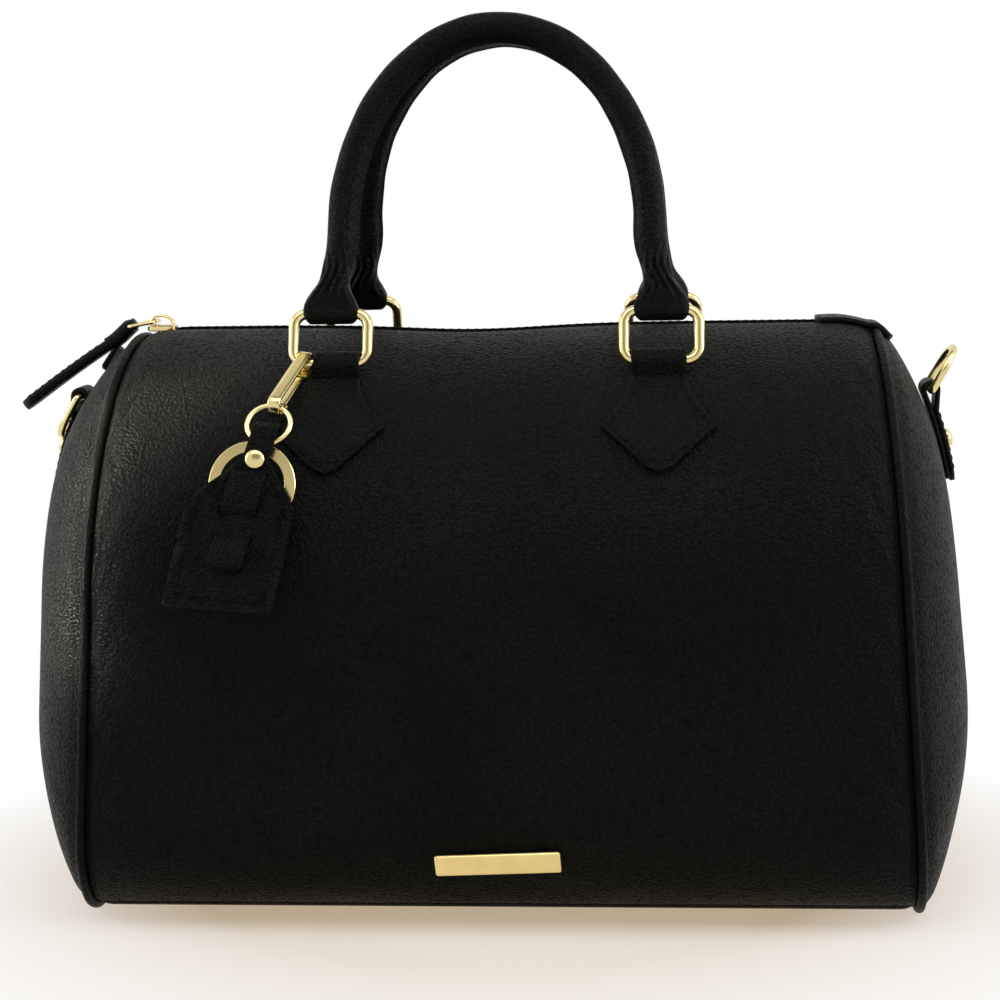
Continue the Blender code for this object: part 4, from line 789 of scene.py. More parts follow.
class BARRELBAG_OT_shell(bpy.types.Operator):
    """Make the front, back, base and end panels and the piping in their seams"""

    bl_idname = "barrelbag.shell"
    bl_label = "Shell"

    def execute(self, context):
        band = dome_s(HINGE_Y + HINGE_GAP)
        above, below = S_BASE_SEAM + GAP / 2, S_BASE_SEAM - GAP / 2
        panel("Front_panel", -band, -above, 150, 210, ["front_panel"], (0.0, 1.0))
        panel("Back_panel", above, band, 150, 210, ["back_panel"], (1.0, 0.0))
        panel("Base_panel", -below, below, 90, 120, ["base_panel"])
        s = loop_s(360)
        for side, label in ENDS:
            share = 1 - np.linspace(0, 1, 70, endpoint=False) ** 1.35
            middle = end_points(side, np.array([[0.0]]), np.array([[0.0]])).reshape(1, 3)
            end_sheet("End_panel_" + label, side, share, 320, 0.0, LOOKS["leather"],
                      LEATHER, ["end_panel_" + label], middle)
            line = barrel(s, side * half_length(section(s)[1]), -PIPING_INSET)
            tube("Piping_" + label, line, PIPING, LOOKS["smooth"], "bag", 16,
                 ["piping_" + label])
        return {"FINISHED"}


class BARRELBAG_OT_lining(bpy.types.Operator):
    """Make the lining and the base board"""

    bl_idname = "barrelbag.lining"
    bl_label = "Lining"

    def execute(self, context):
        inset = LEATHER + GAP
        band = dome_s(HINGE_Y + GAP / 2)
        s = np.linspace(-band, band, 120)[:, None]
        t = np.linspace(-1, 1, 60)[None, :]
        x = t * (half_length(section(s)[1]) - PANEL_END - 0.0006)
        wall = add_mesh("Lining_wall", barrel(s + 0 * x, x, -inset), grid_faces(120, 60),
                        LOOKS["lining"], None)
        wall.data.flip_normals()
        cloth = 0.0008
        finish_sheet(wall, cloth, "bag", ["lining"])
        for side, label in ENDS:
            end_sheet("Lining_end_" + label, side, np.linspace(0.955, 0.02, 30), 120, inset,
                      LOOKS["lining"], cloth)
        self.make_board()
        return {"FINISHED"}

    def make_board(self):
        """A board with rounded corners: an outline carried up its thin edge and closed."""
        low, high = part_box("base_board")
        low, high = np.array(low), np.array(high)
        middle, half = (low + high) / 2, (high - low) / 2
        turn = np.linspace(0, 2 * math.pi, 96, endpoint=False)
        radius = 0.012
        cx = np.sign(np.cos(turn)) * (half[0] - radius)
        cy = np.sign(np.sin(turn)) * (half[1] - radius)
        rows = []
        for inset, z in ((0.0008, -1), (0.0001, -0.7), (0.0001, 0.7), (0.0008, 1)):
            rows.append(np.stack([middle[0] + cx + (radius - inset) * np.cos(turn),
                                  middle[1] + cy + (radius - inset) * np.sin(turn),
                                  np.full(96, middle[2] + z * half[2])], axis=-1))
        turn_outwards(add_mesh("Base_board", capped(np.array(rows)), capped_faces(4, 96),
                               LOOKS["board"], "bag", ["base_board"]))


def band_rows(side, y_outer, y_inner, rows):
    """Distances round the section between two distances from the middle line, on one side."""
    return side * np.linspace(dome_s(y_outer), dome_s(y_inner), rows)


def zip_strip(name, s_values, x_start, x_end, inset, thickness, look, body, replaces,
              crown=0.0):
    """A strip beside the zip between two places along it; crown raises its folded inner edge."""
    cols = 40
    s = s_values[:, None]
    x = spread(x_start, x_end, cols)[None, :]
    t = np.linspace(0, 1, len(s_values))[:, None]
    lift = crown * smooth((t - 0.45) / 0.35) * np.sqrt(np.clip(1 - ((t - 0.8) / 0.2).clip(0) ** 2, 0, 1))
    points = barrel(s + 0 * x, x, lift - inset + seam_dip(ZIP_END - np.abs(x)) * (crown > 0))
    piece = add_mesh(name, points, grid_faces(len(s_values), cols), look, None)
    if piece.data.polygons[0].normal.z < 0:
        piece.data.flip_normals()
    finish_sheet(piece, thickness, body, replaces)


def zip_runs(label):
    """The three stretches of one side of the zip.

    Each is its name, start, end, what it moves with, and the fixed band, tape and chain there.
    """
    leaf = "zip_leaf_" + label
    left_ramp, right_ramp = LEAF_LEFT + RAMP, LEAF_RIGHT - RAMP
    return (("left", -ZIP_END, left_ramp, (LEAF_LEFT, left_ramp, "bag", leaf),
             ["zip_end_band_left_" + label, "zip_end_tape_left", "zip_end_chain_left"]),
            ("middle", left_ramp, right_ramp, leaf, []),
            ("right", right_ramp, ZIP_END, (right_ramp, LEAF_RIGHT, leaf, "bag"),
             ["zip_end_band_right", "zip_end_tape_right", "zip_end_chain_right"]))


class BARRELBAG_OT_zip(bpy.types.Operator):
    """Make the zip's leather bands, woven tapes and teeth"""

    bl_idname = "barrelbag.zip"
    bl_label = "Zip"

    def execute(self, context):
        for side, label in FACES:
            band = band_rows(side, HINGE_Y - HINGE_GAP, BAND_INNER_Y, 21)
            tape = band_rows(side, TAPE_Y[1], TAPE_Y[0], 9)
            for run, start, end, body, fixed in zip_runs(label):
                where = "%s_%s" % (label, run)
                bands, tapes, teeth = [["zip_%s_%s" % (part, label)] + fixed[k:k + 1]
                                       for k, part in enumerate(("band", "tape", "teeth"))]
                zip_strip("Zip_band_" + where, band, start, end, 0.0, BAND_THICKNESS,
                          LOOKS["leather"], body, bands, 0.0002)
                zip_strip("Zip_tape_" + where, tape, start, end, TAPE_INSET, TAPE_THICKNESS,
                          LOOKS["tape"], body, tapes)
                last = min(end, ZIP_END - 0.020)
                self.make_teeth("Zip_teeth_" + where, side, start, last, body, teeth)
                self.sew_band("Zip_stitch_" + where, side, np.linspace(start, end, 60), body)
        return {"FINISHED"}

    def sew_band(self, name, side, x, body):
        """A row of stitches along a band, beside its folded edge."""
        s = np.full(60, side * dome_s(BAND_INNER_Y + 0.0012))
        _, _, ny, nz = section(s)
        normals = np.stack([0 * ny, ny, nz], axis=-1)
        set_on(stitches(name, barrel(s, x, -0.0001), normals, None), body)

    def make_teeth(self, name, side, start, end, body, replaces):
        """A row of moulded teeth: each is a rounded block that narrows to its tip."""
        shift = 0.0 if side < 0 else TOOTH_PITCH / 2
        first = math.ceil((start - shift) / TOOTH_PITCH)
        last = math.ceil((end - shift) / TOOTH_PITCH) - 1
        places = np.arange(first, last + 1) * TOOTH_PITCH + shift + 0.0006
        along = np.array([0.0038, 0.0024, 0.0008, -0.0004, -0.0010])
        wide = np.array([0.0006, 0.0010, 0.00078, 0.00082, 0.0005])
        tall = np.array([0.0007, 0.0012, 0.00105, 0.0011, 0.0006])
        turn = np.linspace(0, 2 * math.pi, 8, endpoint=False) + math.pi / 8
        cx = np.sign(np.cos(turn)) * np.abs(np.cos(turn)) ** 0.6
        cz = np.sign(np.sin(turn)) * np.abs(np.sin(turn)) ** 0.6
        faces, verts = [], []
        for i, x in enumerate(places):
            z = TOOTH_Z + slack(np.array([S_TOP]), np.array([x]))[0]
            points = np.stack([x + wide[:, None] * cx, side * along[:, None] + 0 * cx[None, :],
                               z + tall[:, None] * cz], axis=-1)
            verts.append(capped(points))
            faces += capped_faces(5, 8, start=i * 42)
        piece = add_mesh(name, np.concatenate(verts), faces, LOOKS["satin"], None,
                         replaces)
        set_on(turn_outwards(piece), body)


def upright(line, side=1):
    """Points (x, 0, z) of a line (a, b) in the upright plane along the bag, on one side."""
    return np.stack([side * line[:, 0], 0 * line[:, 0], line[:, 1]], axis=-1)


def path_frame(points, across, row=0, outwards=None):
    """Normals of a line of points in a plane, at right angles to it and to across.

    Where outwards is given, they are turned so that the one at row points that way.
    """
    normals = unit(np.cross(unit(np.gradient(points, axis=0)), across))
    if outwards is not None and normals[row] @ outwards < 0:
        normals = -normals
    return normals


def hook(surface, bar, radius, turn, steps):
    """A strap's middle line in a plane: along a surface, then tangent to and round a bar.

    turn is how far round the bar it goes, in degrees; the bar's axis and the points are (a, b).
    """
    d = surface[-1] - bar
    start = math.atan2(d[1], d[0]) + math.copysign(math.acos(radius / np.linalg.norm(d)), turn)
    angle = start + math.radians(turn) * np.linspace(0, 1, steps)
    ring = bar + radius * np.stack([np.cos(angle), np.sin(angle)], axis=-1)
    return np.concatenate([surface, ring])


def ring_bar():
    """Axis (out, height) of a handle ring's lower bar, seated in its tab."""
    radius = RADIUS + TAB_THICKNESS + RING_WIRE / 2 + 2 * GAP
    turn = math.radians(SEAT_ANGLE)
    return np.array([radius * math.cos(turn), DOME_Z + radius * math.sin(turn)])


def ring_top():
    """Axis (out, height) of a handle ring's upper bar."""
    lean = math.radians(RING_LEAN)
    return ring_bar() + RING_SIZE[1] * np.array([-math.sin(lean), math.cos(lean)])


def tab_width(angle):
    """Half width of a kite tab at an angle on the dome: a pointed tip, corners and a neck."""
    corner, tip, neck = TAB_CORNER_WIDTH / 2, TAB_TIP / 2, TAB_NECK / 2
    share = np.clip((angle - TAB_TIP_ANGLE) / (TAB_CORNER_ANGLE - TAB_TIP_ANGLE), 0, 1)
    low = tip * np.sqrt(np.clip(share / 0.10, 0.02, 1)) + (corner - tip) * share
    high = np.clip((angle - TAB_CORNER_ANGLE) / (TAB_NECK_ANGLE - TAB_CORNER_ANGLE), 0, 1)
    return np.where(angle < TAB_CORNER_ANGLE, low, neck + (corner - neck) * (1 - high) ** 1.8)


class BARRELBAG_OT_tabs(bpy.types.Operator):
    """Make the four kite-shaped leather tabs and their stitching"""

    bl_idname = "barrelbag.tabs"
    bl_label = "Kite tabs"

    def execute(self, context):
        angles = np.concatenate([TAB_TIP_ANGLE + 3.0 * np.linspace(0, 1, 12, endpoint=False) ** 1.6,
                                 np.linspace(TAB_TIP_ANGLE + 3.0, TAB_LIFT_ANGLE, 44)])
        middle = RADIUS + GAP + TAB_THICKNESS / 2
        turn = np.radians(angles)
        surface = np.stack([middle * np.cos(turn), DOME_Z + middle * np.sin(turn)], axis=-1)
        wrap = RING_WIRE / 2 + GAP + TAB_THICKNESS / 2 + 0.0006
        line = hook(surface, ring_bar(), wrap, 205, 28)
        widths = np.concatenate([tab_width(angles), np.full(28, TAB_LOOP / 2)])
        near = len(angles) - 6
        blend = smooth((np.arange(len(widths)) - near) / 10.0)
        widths = widths * (1 - blend) + TAB_LOOP / 2 * blend
        by_clip = widths * (1 - blend) + TAB_LOOP_BY_CLIP[0] / 2 * blend
        for side, label in FACES:
            for x_side, where in ENDS:
                centre = x_side * TAB_X
                clipped = side < 0 and x_side < 0
                aside = TAB_LOOP_BY_CLIP[1] * blend if clipped else 0 * blend
                points = np.stack([centre + aside, side * line[:, 0], line[:, 1]], axis=-1)
                normals = path_frame(points, X_AXIS, 20, Z_AXIS)
                strap("Handle_tab_%s_%s" % (label, where), points, X_AXIS, normals,
                      by_clip if clipped else widths, TAB_THICKNESS, LOOKS["leather"], "bag",
                      ["handle_tab_%s_%s" % (label, where)], groove=0.0026,
                      flats=25)
                self.sew("Tab_stitch_%s_%s" % (label, where), side, centre)
        return {"FINISHED"}

    def sew(self, name, side, centre):
        """Stitches along the kite's border, down one side, round the tip and up the other."""
        inset = 0.0026
        angles = np.linspace(TAB_TIP_ANGLE + 2.6, TAB_LIFT_ANGLE - 1.0, 60)
        half = np.maximum(tab_width(angles) - inset, 0.0004)
        angle = np.concatenate([angles[::-1], angles])
        x = np.concatenate([-half[::-1], half])
        radius = RADIUS + GAP + TAB_THICKNESS
        turn = np.radians(angle)
        centres = np.stack([centre + x, side * radius * np.cos(turn), DOME_Z + radius * np.sin(turn)],
                           axis=-1)
        normals = np.stack([0 * x, side * np.cos(turn), np.sin(turn)], axis=-1)
        stitches(name, centres, normals, "bag")


def handle_line(count):
    """A handle's middle line (x, z) in its own plane, from left end to right end.

    Each leg rises from the ring's bar and leans in a little; the arch is half an ellipse.
    """
    spring = HANDLE_HEIGHT - ARCH_RISE
    z = np.concatenate([-HANDLE_FOLD * np.cos(np.linspace(0.06, math.pi / 2, 12)),
                        np.linspace(0.0008, spring - 0.001, 40)])
    share = smooth(z / spring)
    leg = np.stack([-RING_X + (RING_X - ARCH_HALF) * share, z], axis=-1)
    turn = np.linspace(math.pi, math.pi / 2, 60)
    arch = np.stack([ARCH_HALF * np.cos(turn), spring + ARCH_RISE * np.sin(turn)], axis=-1)
    left = np.concatenate([leg, arch])
    low, body = left[:12], smooth_line(left[11:], count, 2)
    left = np.concatenate([low, body[1:]])
    return np.concatenate([left, (left * [-1, 1])[::-1][1:]])


class BARRELBAG_OT_handles(bpy.types.Operator):
    """Make the two rolled handles: stitched along the inside, with folded and creased ends"""

    bl_idname = "barrelbag.handles"
    bl_label = "Handles"

    def execute(self, context):
        for side, label in FACES:
            self.make_handle(side, label)
        return {"FINISHED"}

    def make_handle(self, side, label):
        """A cross-section that goes from a flat fold at the ring to a round roll, swept along.

        Round the roll it has a raised sewn ridge on the inner side; on the fold, creases that
        run down from the roll and spread.
        """
        line = handle_line(110)
        count, sides = len(line), 64
        tangent = unit(np.gradient(line, axis=0))
        tangent[line[:, 1] < 0.0008] = [0.0, 1.0]
        flip = np.where(np.arange(count) > count // 2, -1.0, 1.0)[:, None]
        tangent = np.where((line[:, 1] < 0.0008)[:, None], tangent * flip, tangent)
        across = np.stack([tangent[:, 1], 0 * tangent[:, 0], -tangent[:, 0]], axis=-1)
        height = line[:, 1:]
        ease = smooth(height / FLARE[1])
        wide = FLARE[0] / 2 + (HANDLE_RADIUS - FLARE[0] / 2) * ease
        deep = HANDLE_FOLD + (HANDLE_RADIUS - HANDLE_FOLD) * ease
        deep = np.where(height < 0, np.sqrt(np.clip(HANDLE_FOLD**2 - height**2, 1e-9, 1)), deep)
        wide = wide * (1 - 0.24 * np.clip(-height / HANDLE_FOLD, 0, 1) ** 2)
        wide = wide + 0.0006 * bump(height, 0.006, 0.005)
        power = 2 / (4.0 - 2.0 * ease)
        angle = np.linspace(0, 2 * math.pi, sides, endpoint=False)[None, :]
        c, s = np.cos(angle), np.sin(angle)
        u = wide * np.sign(c) * np.abs(c) ** power
        v = deep * np.sign(s) * np.abs(s) ** power
        ridge = bump(angle, 0.0, 0.16) + bump(angle, 2 * math.pi, 0.16)
        roll = smooth((height - 0.014) / 0.010)
        u = u + 0.0011 * ridge * roll
        zone = smooth((height - 0.002) / 0.005) * smooth((0.026 - height) / 0.010)
        swing = 0.0012 * np.sin(height * 310.0)
        folds = np.sin((u + swing) * 1500.0 * (1.0 + 0.9 * ease)) * np.sign(s) * np.abs(s) ** 0.4
        v = v + settings().form.crease * folds * zone
        along = along_line(line)[:, None]
        uneven = 1 + 0.018 * np.sin(along * 160.0 + 2 * angle) + 0.012 * np.sin(along * 390.0 + 1.7)
        u, v = u * (1 + (uneven - 1) * roll), v * (1 + (uneven - 1) * roll)
        local = np.zeros((count, sides, 3))
        local[..., 0] = line[:, None, 0] + across[:, None, 0] * u
        local[..., 1] = v
        local[..., 2] = line[:, None, 1] + across[:, None, 2] * u
        points = self.place(local, side)
        # Sides of the flat fold, which the trim leather lightens as rubbed wear and a painted highlight
        edge = np.clip(1 - roll, 0, 1) * (np.abs(c) > 0.9)
        edge = np.concatenate([edge.ravel(), [0, 0]])
        piece = add_mesh("Handle_" + label, capped(points), capped_faces(count, sides),
                         LOOKS["smooth"], label + "_handle", ["handle_" + label],
                         edge=edge, angle=55.0)
        turn_outwards(piece)
        keep = line[:, 1] > 0.019
        for tilt, name in FACES:
            lean = math.radians(58) * tilt
            core = np.stack([line[:, 0] + across[:, 0] * HANDLE_RADIUS * math.cos(lean),
                             np.full(count, HANDLE_RADIUS * math.sin(lean)),
                             line[:, 1] + across[:, 2] * HANDLE_RADIUS * math.cos(lean)], axis=-1)
            out = np.stack([across[:, 0] * math.cos(lean), np.full(count, math.sin(lean)),
                            across[:, 2] * math.cos(lean)], axis=-1)
            stitches("Handle_stitch_%s_%s" % (label, name), self.place(core[keep], side),
                     self.place(out[keep], side, turn_only=True), label + "_handle")

    def place(self, points, side, turn_only=False):
        """Turn points from the handle's own plane to its lean, and set them on the ring."""
        lean = math.radians(side * HANDLE_LEAN)
        c, s = math.cos(lean), math.sin(lean)
        x, y, z = points[..., 0], points[..., 1], points[..., 2]
        turned = np.stack([x, y * c - z * s, y * s + z * c], axis=-1)
        if turn_only:
            return turned
        out, height = ring_top()
        return turned + np.array([0.0, side * out, height])


def rounded_outline(width, height, radius, steps=10):
    """A closed outline (a, b) of a rectangle with rounded corners round the middle."""
    turn = np.linspace(0, math.pi / 2, steps)
    corners = []
    for k, (sx, sy) in enumerate(((1, 1), (-1, 1), (-1, -1), (1, -1))):
        t = turn + k * math.pi / 2
        corners.append(np.stack([sx * (width / 2 - radius) + radius * np.cos(t),
                                 sy * (height / 2 - radius) + radius * np.sin(t)], axis=-1))
    return np.concatenate(corners)


def closed_even(points, count):
    """Points at even steps round a closed line."""
    line = resample(np.concatenate([points, points[:1]]), None, count + 1)
    return line[:-1]


class BARRELBAG_OT_rings(bpy.types.Operator):
    """Make the four handle rings"""

    bl_idname = "barrelbag.rings"
    bl_label = "Rings"

    def execute(self, context):
        out, height = ring_bar()
        outline = closed_even(rounded_outline(RING_SIZE[0], RING_SIZE[1], RING_CORNER), 120)
        for side, label in FACES:
            lean = math.radians(side * RING_LEAN)
            for x_side, where in ENDS:
                up = outline[:, 1] + RING_SIZE[1] / 2
                wire = np.stack([x_side * RING_X + outline[:, 0],
                                 side * out - up * math.sin(lean), height + up * math.cos(lean)],
                                axis=-1)
                tube("Handle_ring_%s_%s" % (label, where), wire, 0.0019, LOOKS["gold"],
                     "ring_%s_%s" % (label, where), 20,
                     ["handle_ring_%s_%s" % (label, where)])
        return {"FINISHED"}


def turned(name, profile, origin, axis, look, body, slot, replaces=(), sides=48):
    """A round piece: a profile of radius and height turned about an axis through its origin."""
    profile = np.asarray(profile)
    axis = unit(np.asarray(axis, dtype=float))
    side = unit(np.cross(axis, [0.31, 0.95, 0.05]))
    other = np.cross(axis, side)
    angle = np.linspace(0, 2 * math.pi, sides, endpoint=False)[None, :, None]
    radius, height = profile[:, 0, None, None], profile[:, 1, None, None]
    points = origin + radius * (np.cos(angle) * side + np.sin(angle) * other) + height * axis
    piece = add_mesh(name, capped(points), capped_faces(len(profile), sides), look, body,
                     replaces, angle=35.0)
    return turn_outwards(piece)


def dome_profile(radius, height, steps=14):
    """Profile of a domed head: a flat back, a short rim and a dome over it."""
    t = np.linspace(0, math.pi / 2, steps)
    dome = np.stack([radius * np.cos(t), 0.18 * height + 0.82 * height * np.sin(t)], axis=-1)
    return np.concatenate([[[0.0002, 0.0], [radius * 0.96, 0.0], [radius, 0.08 * height]], dome[:-1],
                           [[0.0002, height]]])


def side_surface(height, bulge, distance):
    """Points (out, height) at a distance above an end panel's surface on its middle line."""
    def out(z):
        share = (z - END_CENTRE_Z) / (HEIGHT - END_INSET - END_CENTRE_Z)
        return half_length(z) + END_OFFSET + bulge * (1 - share**END_ROUNDNESS)
    slope = (out(height + 0.0001) - out(height - 0.0001)) / 0.0002
    size = np.hypot(1.0, slope)
    return np.stack([out(height) + distance / size, height - distance * slope / size], axis=-1)


class BARRELBAG_OT_sides(bpy.types.Operator):
    """Make the doubled strap, the domed stud and the D-ring on each end panel"""

    bl_idname = "barrelbag.sides"
    bl_label = "Side straps"

    def execute(self, context):
        loop, wire, width, drop = 0.181, 0.0028, 0.020, 0.017
        for side, label in ENDS:
            bulge = BULGES[label]
            distance = GAP + TAB_THICKNESS / 2
            heights = np.linspace(loop - 0.033, loop - 0.0075, 40)
            surface = side_surface(heights, bulge, distance + 1.02 * TAB_THICKNESS)
            bar = side_surface(np.array([loop]), bulge, TAB_THICKNESS + 2 * GAP + wire / 2)[0]
            line = hook(surface, bar, wire / 2 + GAP + TAB_THICKNESS / 2, 206, 26)
            under = side_surface(np.linspace(loop - 0.003, loop - 0.0315, 24), bulge, distance)
            line = np.concatenate([line, under])
            points = upright(line, side)
            normals = path_frame(points, Y_AXIS, 5, side * X_AXIS)
            widths = 0.007 * np.sqrt(np.clip((np.arange(len(line)) + 1) / 9.0, 0, 1))
            strap("Side_tab_" + label, points, Y_AXIS, normals, widths, TAB_THICKNESS,
                  LOOKS["smooth"], "bag", ["side_tab_" + label], groove=0.0018)
            rows = slice(6, 40)
            for edge, name in FACES:
                core = points[rows] + normals[rows] * TAB_THICKNESS / 2 + edge * 0.0052 * Y_AXIS
                stitches("Side_stitch_%s_%s" % (label, name), core, normals[rows], "bag")
            height = np.array([loop - 0.018])
            head = 2 * TAB_THICKNESS + 2 * GAP
            foot = upright(side_surface(height, bulge, head), side)[0]
            above = upright(side_surface(height, bulge, head + 0.001), side)[0]
            turned("Side_stud_" + label, dome_profile(0.0034, 0.0021), foot, above - foot,
                   LOOKS["gold"], "bag", "pale_gold", ["side_stud_" + label])
            verts = node_points("side_ring_" + label)
            start = np.array([side * bar[0], 0.0, bar[1]])
            far = verts[np.argmax(np.linalg.norm((verts - start)[:, [0, 2]], axis=1))]
            down = unit((far - start) * [1, 0, 1])
            half = width / 2
            turn = np.linspace(0, math.pi, 40)
            flat = np.concatenate([[[-half, 0.0], [half, 0.0]],
                                   np.stack([half * np.cos(turn), drop - half + half * np.sin(turn)],
                                            axis=-1)])
            flat = closed_even(flat, 160)
            for _ in range(8):
                flat = (np.roll(flat, 1, 0) + 2 * flat + np.roll(flat, -1, 0)) / 4
            line = start + flat[:, :1] * Y_AXIS + flat[:, 1:] * down
            tube("Side_ring_" + label, line, wire / 2, LOOKS["gold"], "d_ring_" + label,
                 18, ["side_ring_" + label])
        return {"FINISHED"}


class BARRELBAG_OT_pull(bpy.types.Operator):
    """Make the slider, its link, the leather puller and the tabs at the zip's ends"""

    bl_idname = "barrelbag.pull"
    bl_label = "Slider and puller"

    def execute(self, context):
        self.make_slider()
        pivot = np.array([-0.1306, 0.0, 0.2104])
        rise = math.radians(-10)
        down = np.array([-math.cos(rise), 0.0, math.sin(rise)])
        outline = closed_even(rounded_outline(0.0102, 0.0128, 0.0022), 80)
        wire = pivot + (outline[:, :1] + 0.0051) * down + outline[:, 1:] * Y_AXIS
        tube("Pull_link", wire, 0.0007, LOOKS["gold"], "link", 14, ["pull_link"])
        self.make_puller(pivot + 0.0102 * down)
        self.make_end_tabs()
        return {"FINISHED"}

    def make_slider(self):
        """A low body on the teeth with softened edges, and an arched bridge over the link's bar."""
        low, high = np.array(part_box("zip_slider"))
        middle = (low + high) / 2
        rows = []
        for inset, z in ((0.0006, low[2] + 0.0005), (0.0, low[2] + 0.0009), (0.0, low[2] + 0.0023),
                         (0.0006, low[2] + 0.0028)):
            flat = rounded_outline(0.0108 - 2 * inset, 0.0094 - 2 * inset, 0.0028 - inset)
            rows.append(np.concatenate([flat + middle[:2], np.full((len(flat), 1), z)], axis=-1))
        turn_outwards(add_mesh("Slider_body", capped(np.array(rows)), capped_faces(4, len(flat)),
                               LOOKS["gold"], "slider", ["zip_slider"], angle=35.0))
        knots = np.array([[-0.1326, 0.2086], [-0.1325, 0.2108], [-0.1309, 0.2123], [-0.1275, 0.2124],
                          [-0.1249, 0.2112], [-0.1240, 0.2086]])
        points = upright(smooth_line(knots, 40, 3))
        strap("Slider_bridge", points, Y_AXIS, path_frame(points, Y_AXIS), 0.0015, 0.0009,
              LOOKS["gold"], "slider", flats=7)

    def make_puller(self, eye):
        """A folded leather strip with its sewn edges; its far end drops a little."""
        droop = math.radians(34)
        along = np.linspace(0, 1, 60)
        reach = -0.0022 + 0.0530 * along
        lead = np.array([-math.cos(droop), 0.0, -math.sin(droop)])
        out = np.array([-math.sin(droop), 0.0, math.cos(droop)])
        bow = (-0.0014 * smooth(along / 0.2) + 0.0006 * np.sin(math.pi * along))[:, None]
        points = eye + reach[:, None] * lead + bow * out
        normals = path_frame(points, Y_AXIS, 30, Z_AXIS)
        widths = 0.0055 * np.sqrt(np.clip(np.minimum(along * 60 + 1.5, (1 - along) * 60 + 0.6) / 5, 0, 1))
        strap("Zip_puller", points, Y_AXIS, normals, widths, 0.0040, LOOKS["smooth"], "puller",
              ["zip_puller"], groove=0.0014)
        rows, fold = slice(17, 57), slice(2, 15)
        for edge, name in FACES:
            core = points[rows] + normals[rows] * 0.00178 + edge * 0.0036 * Y_AXIS
            stitches("Puller_stitch_" + name, core, normals[rows], "puller")
        strap("Puller_keeper", points[fold], Y_AXIS, normals[fold], 0.0061, 0.0053,
              LOOKS["smooth"], "puller", flats=9)

    def make_end_tabs(self):
        """The tab over the zip's right end, and the one on the end panel below its left end."""
        x = np.linspace(0.1146, 0.132, 12)
        top = np.stack([x, HEIGHT + slack(np.full(12, S_TOP), x) + 0.0003
                        + 0.0003 * smooth((x - 0.1146) / 0.01)], axis=-1)
        over = end_points(1, np.array([0.985, 0.965])[:, None], np.array([[S_TOP]]))
        over = over.reshape(2, 3)[:, [0, 2]] + [0.0006, 0.0004]
        piping = [[0.1340, 0.2062], [0.1362, 0.2062], [0.1382, 0.2050]]
        points = upright(smooth_line(np.concatenate([top, piping, over]), 60, 3))
        normals = path_frame(points, Y_AXIS, 20, Z_AXIS)
        rows = np.arange(60)
        widths = 0.0105 * np.clip(np.minimum(rows + 1.0, 60 - rows) / 5, 0, 1) ** 0.35
        strap("Zip_end_tab_right", points, Y_AXIS, normals, widths, 0.0024, LOOKS["smooth"], "bag",
              ["zip_end_tab_right"], groove=0.0022)
        heights = np.linspace(0.192, 0.1996, 24)
        surface = side_surface(heights, BULGES["left"], GAP + TAB_THICKNESS / 2)
        points = upright(surface, -1)
        normals = path_frame(points, Y_AXIS, 5, -X_AXIS)
        widths = 0.007 * np.sqrt(np.clip((np.arange(24) + 1) / 6.0, 0, 1))
        strap("Zip_end_tab_left", points, Y_AXIS, normals, widths, TAB_THICKNESS,
              LOOKS["smooth"], "bag", ["zip_end_tab_left"], groove=0.0018)


class BARRELBAG_OT_plate(bpy.types.Operator):
    """Make the bare metal plate low on the front, with its softened edges"""

    bl_idname = "barrelbag.plate"
    bl_label = "Plate"

    def execute(self, context):
        verts = node_points("name_plate")
        middle = (verts.max(0) + verts.min(0)) / 2
        axes = np.linalg.svd(verts - middle)[2]
        out = axes[2] * np.sign(-axes[2][1])
        along = axes[0] * np.sign(axes[0][0])
        up = np.cross(out, along)
        half = ((verts - middle) @ out).max()
        rows = []
        for inset, level in ((0.0003, -half), (0.0, -half + 0.0002), (0.0, half - 0.00035),
                             (0.0001, half - 0.00012), (0.00035, half), (0.0012, half)):
            flat = rounded_outline(0.044 - 2 * inset, 0.0085 - 2 * inset, 0.0009, 8)
            rows.append(middle + flat[:, :1] * along + flat[:, 1:] * up + level * out)
        count = rows[0].shape[0]
        turn_outwards(add_mesh("Name_plate", capped(np.array(rows)), capped_faces(len(rows), count),
                               LOOKS["satin"], "bag", ["name_plate"], angle=35.0))
        return {"FINISHED"}


def leather_frame(x, angle, height):
    """Origin and axes on the front of the dome: across, uphill and away from the leather."""
    turn = math.radians(angle)
    up = np.array([0.0, math.sin(turn), math.cos(turn)])
    out = np.array([0.0, -math.cos(turn), math.sin(turn)])
    radius = RADIUS + height
    origin = np.array([x, -radius * math.cos(turn), DOME_Z + radius * math.sin(turn)])
    return origin, X_AXIS, up, out


def turn_axes(a, b, angle):
    """Two axes turned by an angle in degrees in their own plane, from the first to the second."""
    c, s = math.cos(math.radians(angle)), math.sin(math.radians(angle))
    return a * c + b * s, b * c - a * s


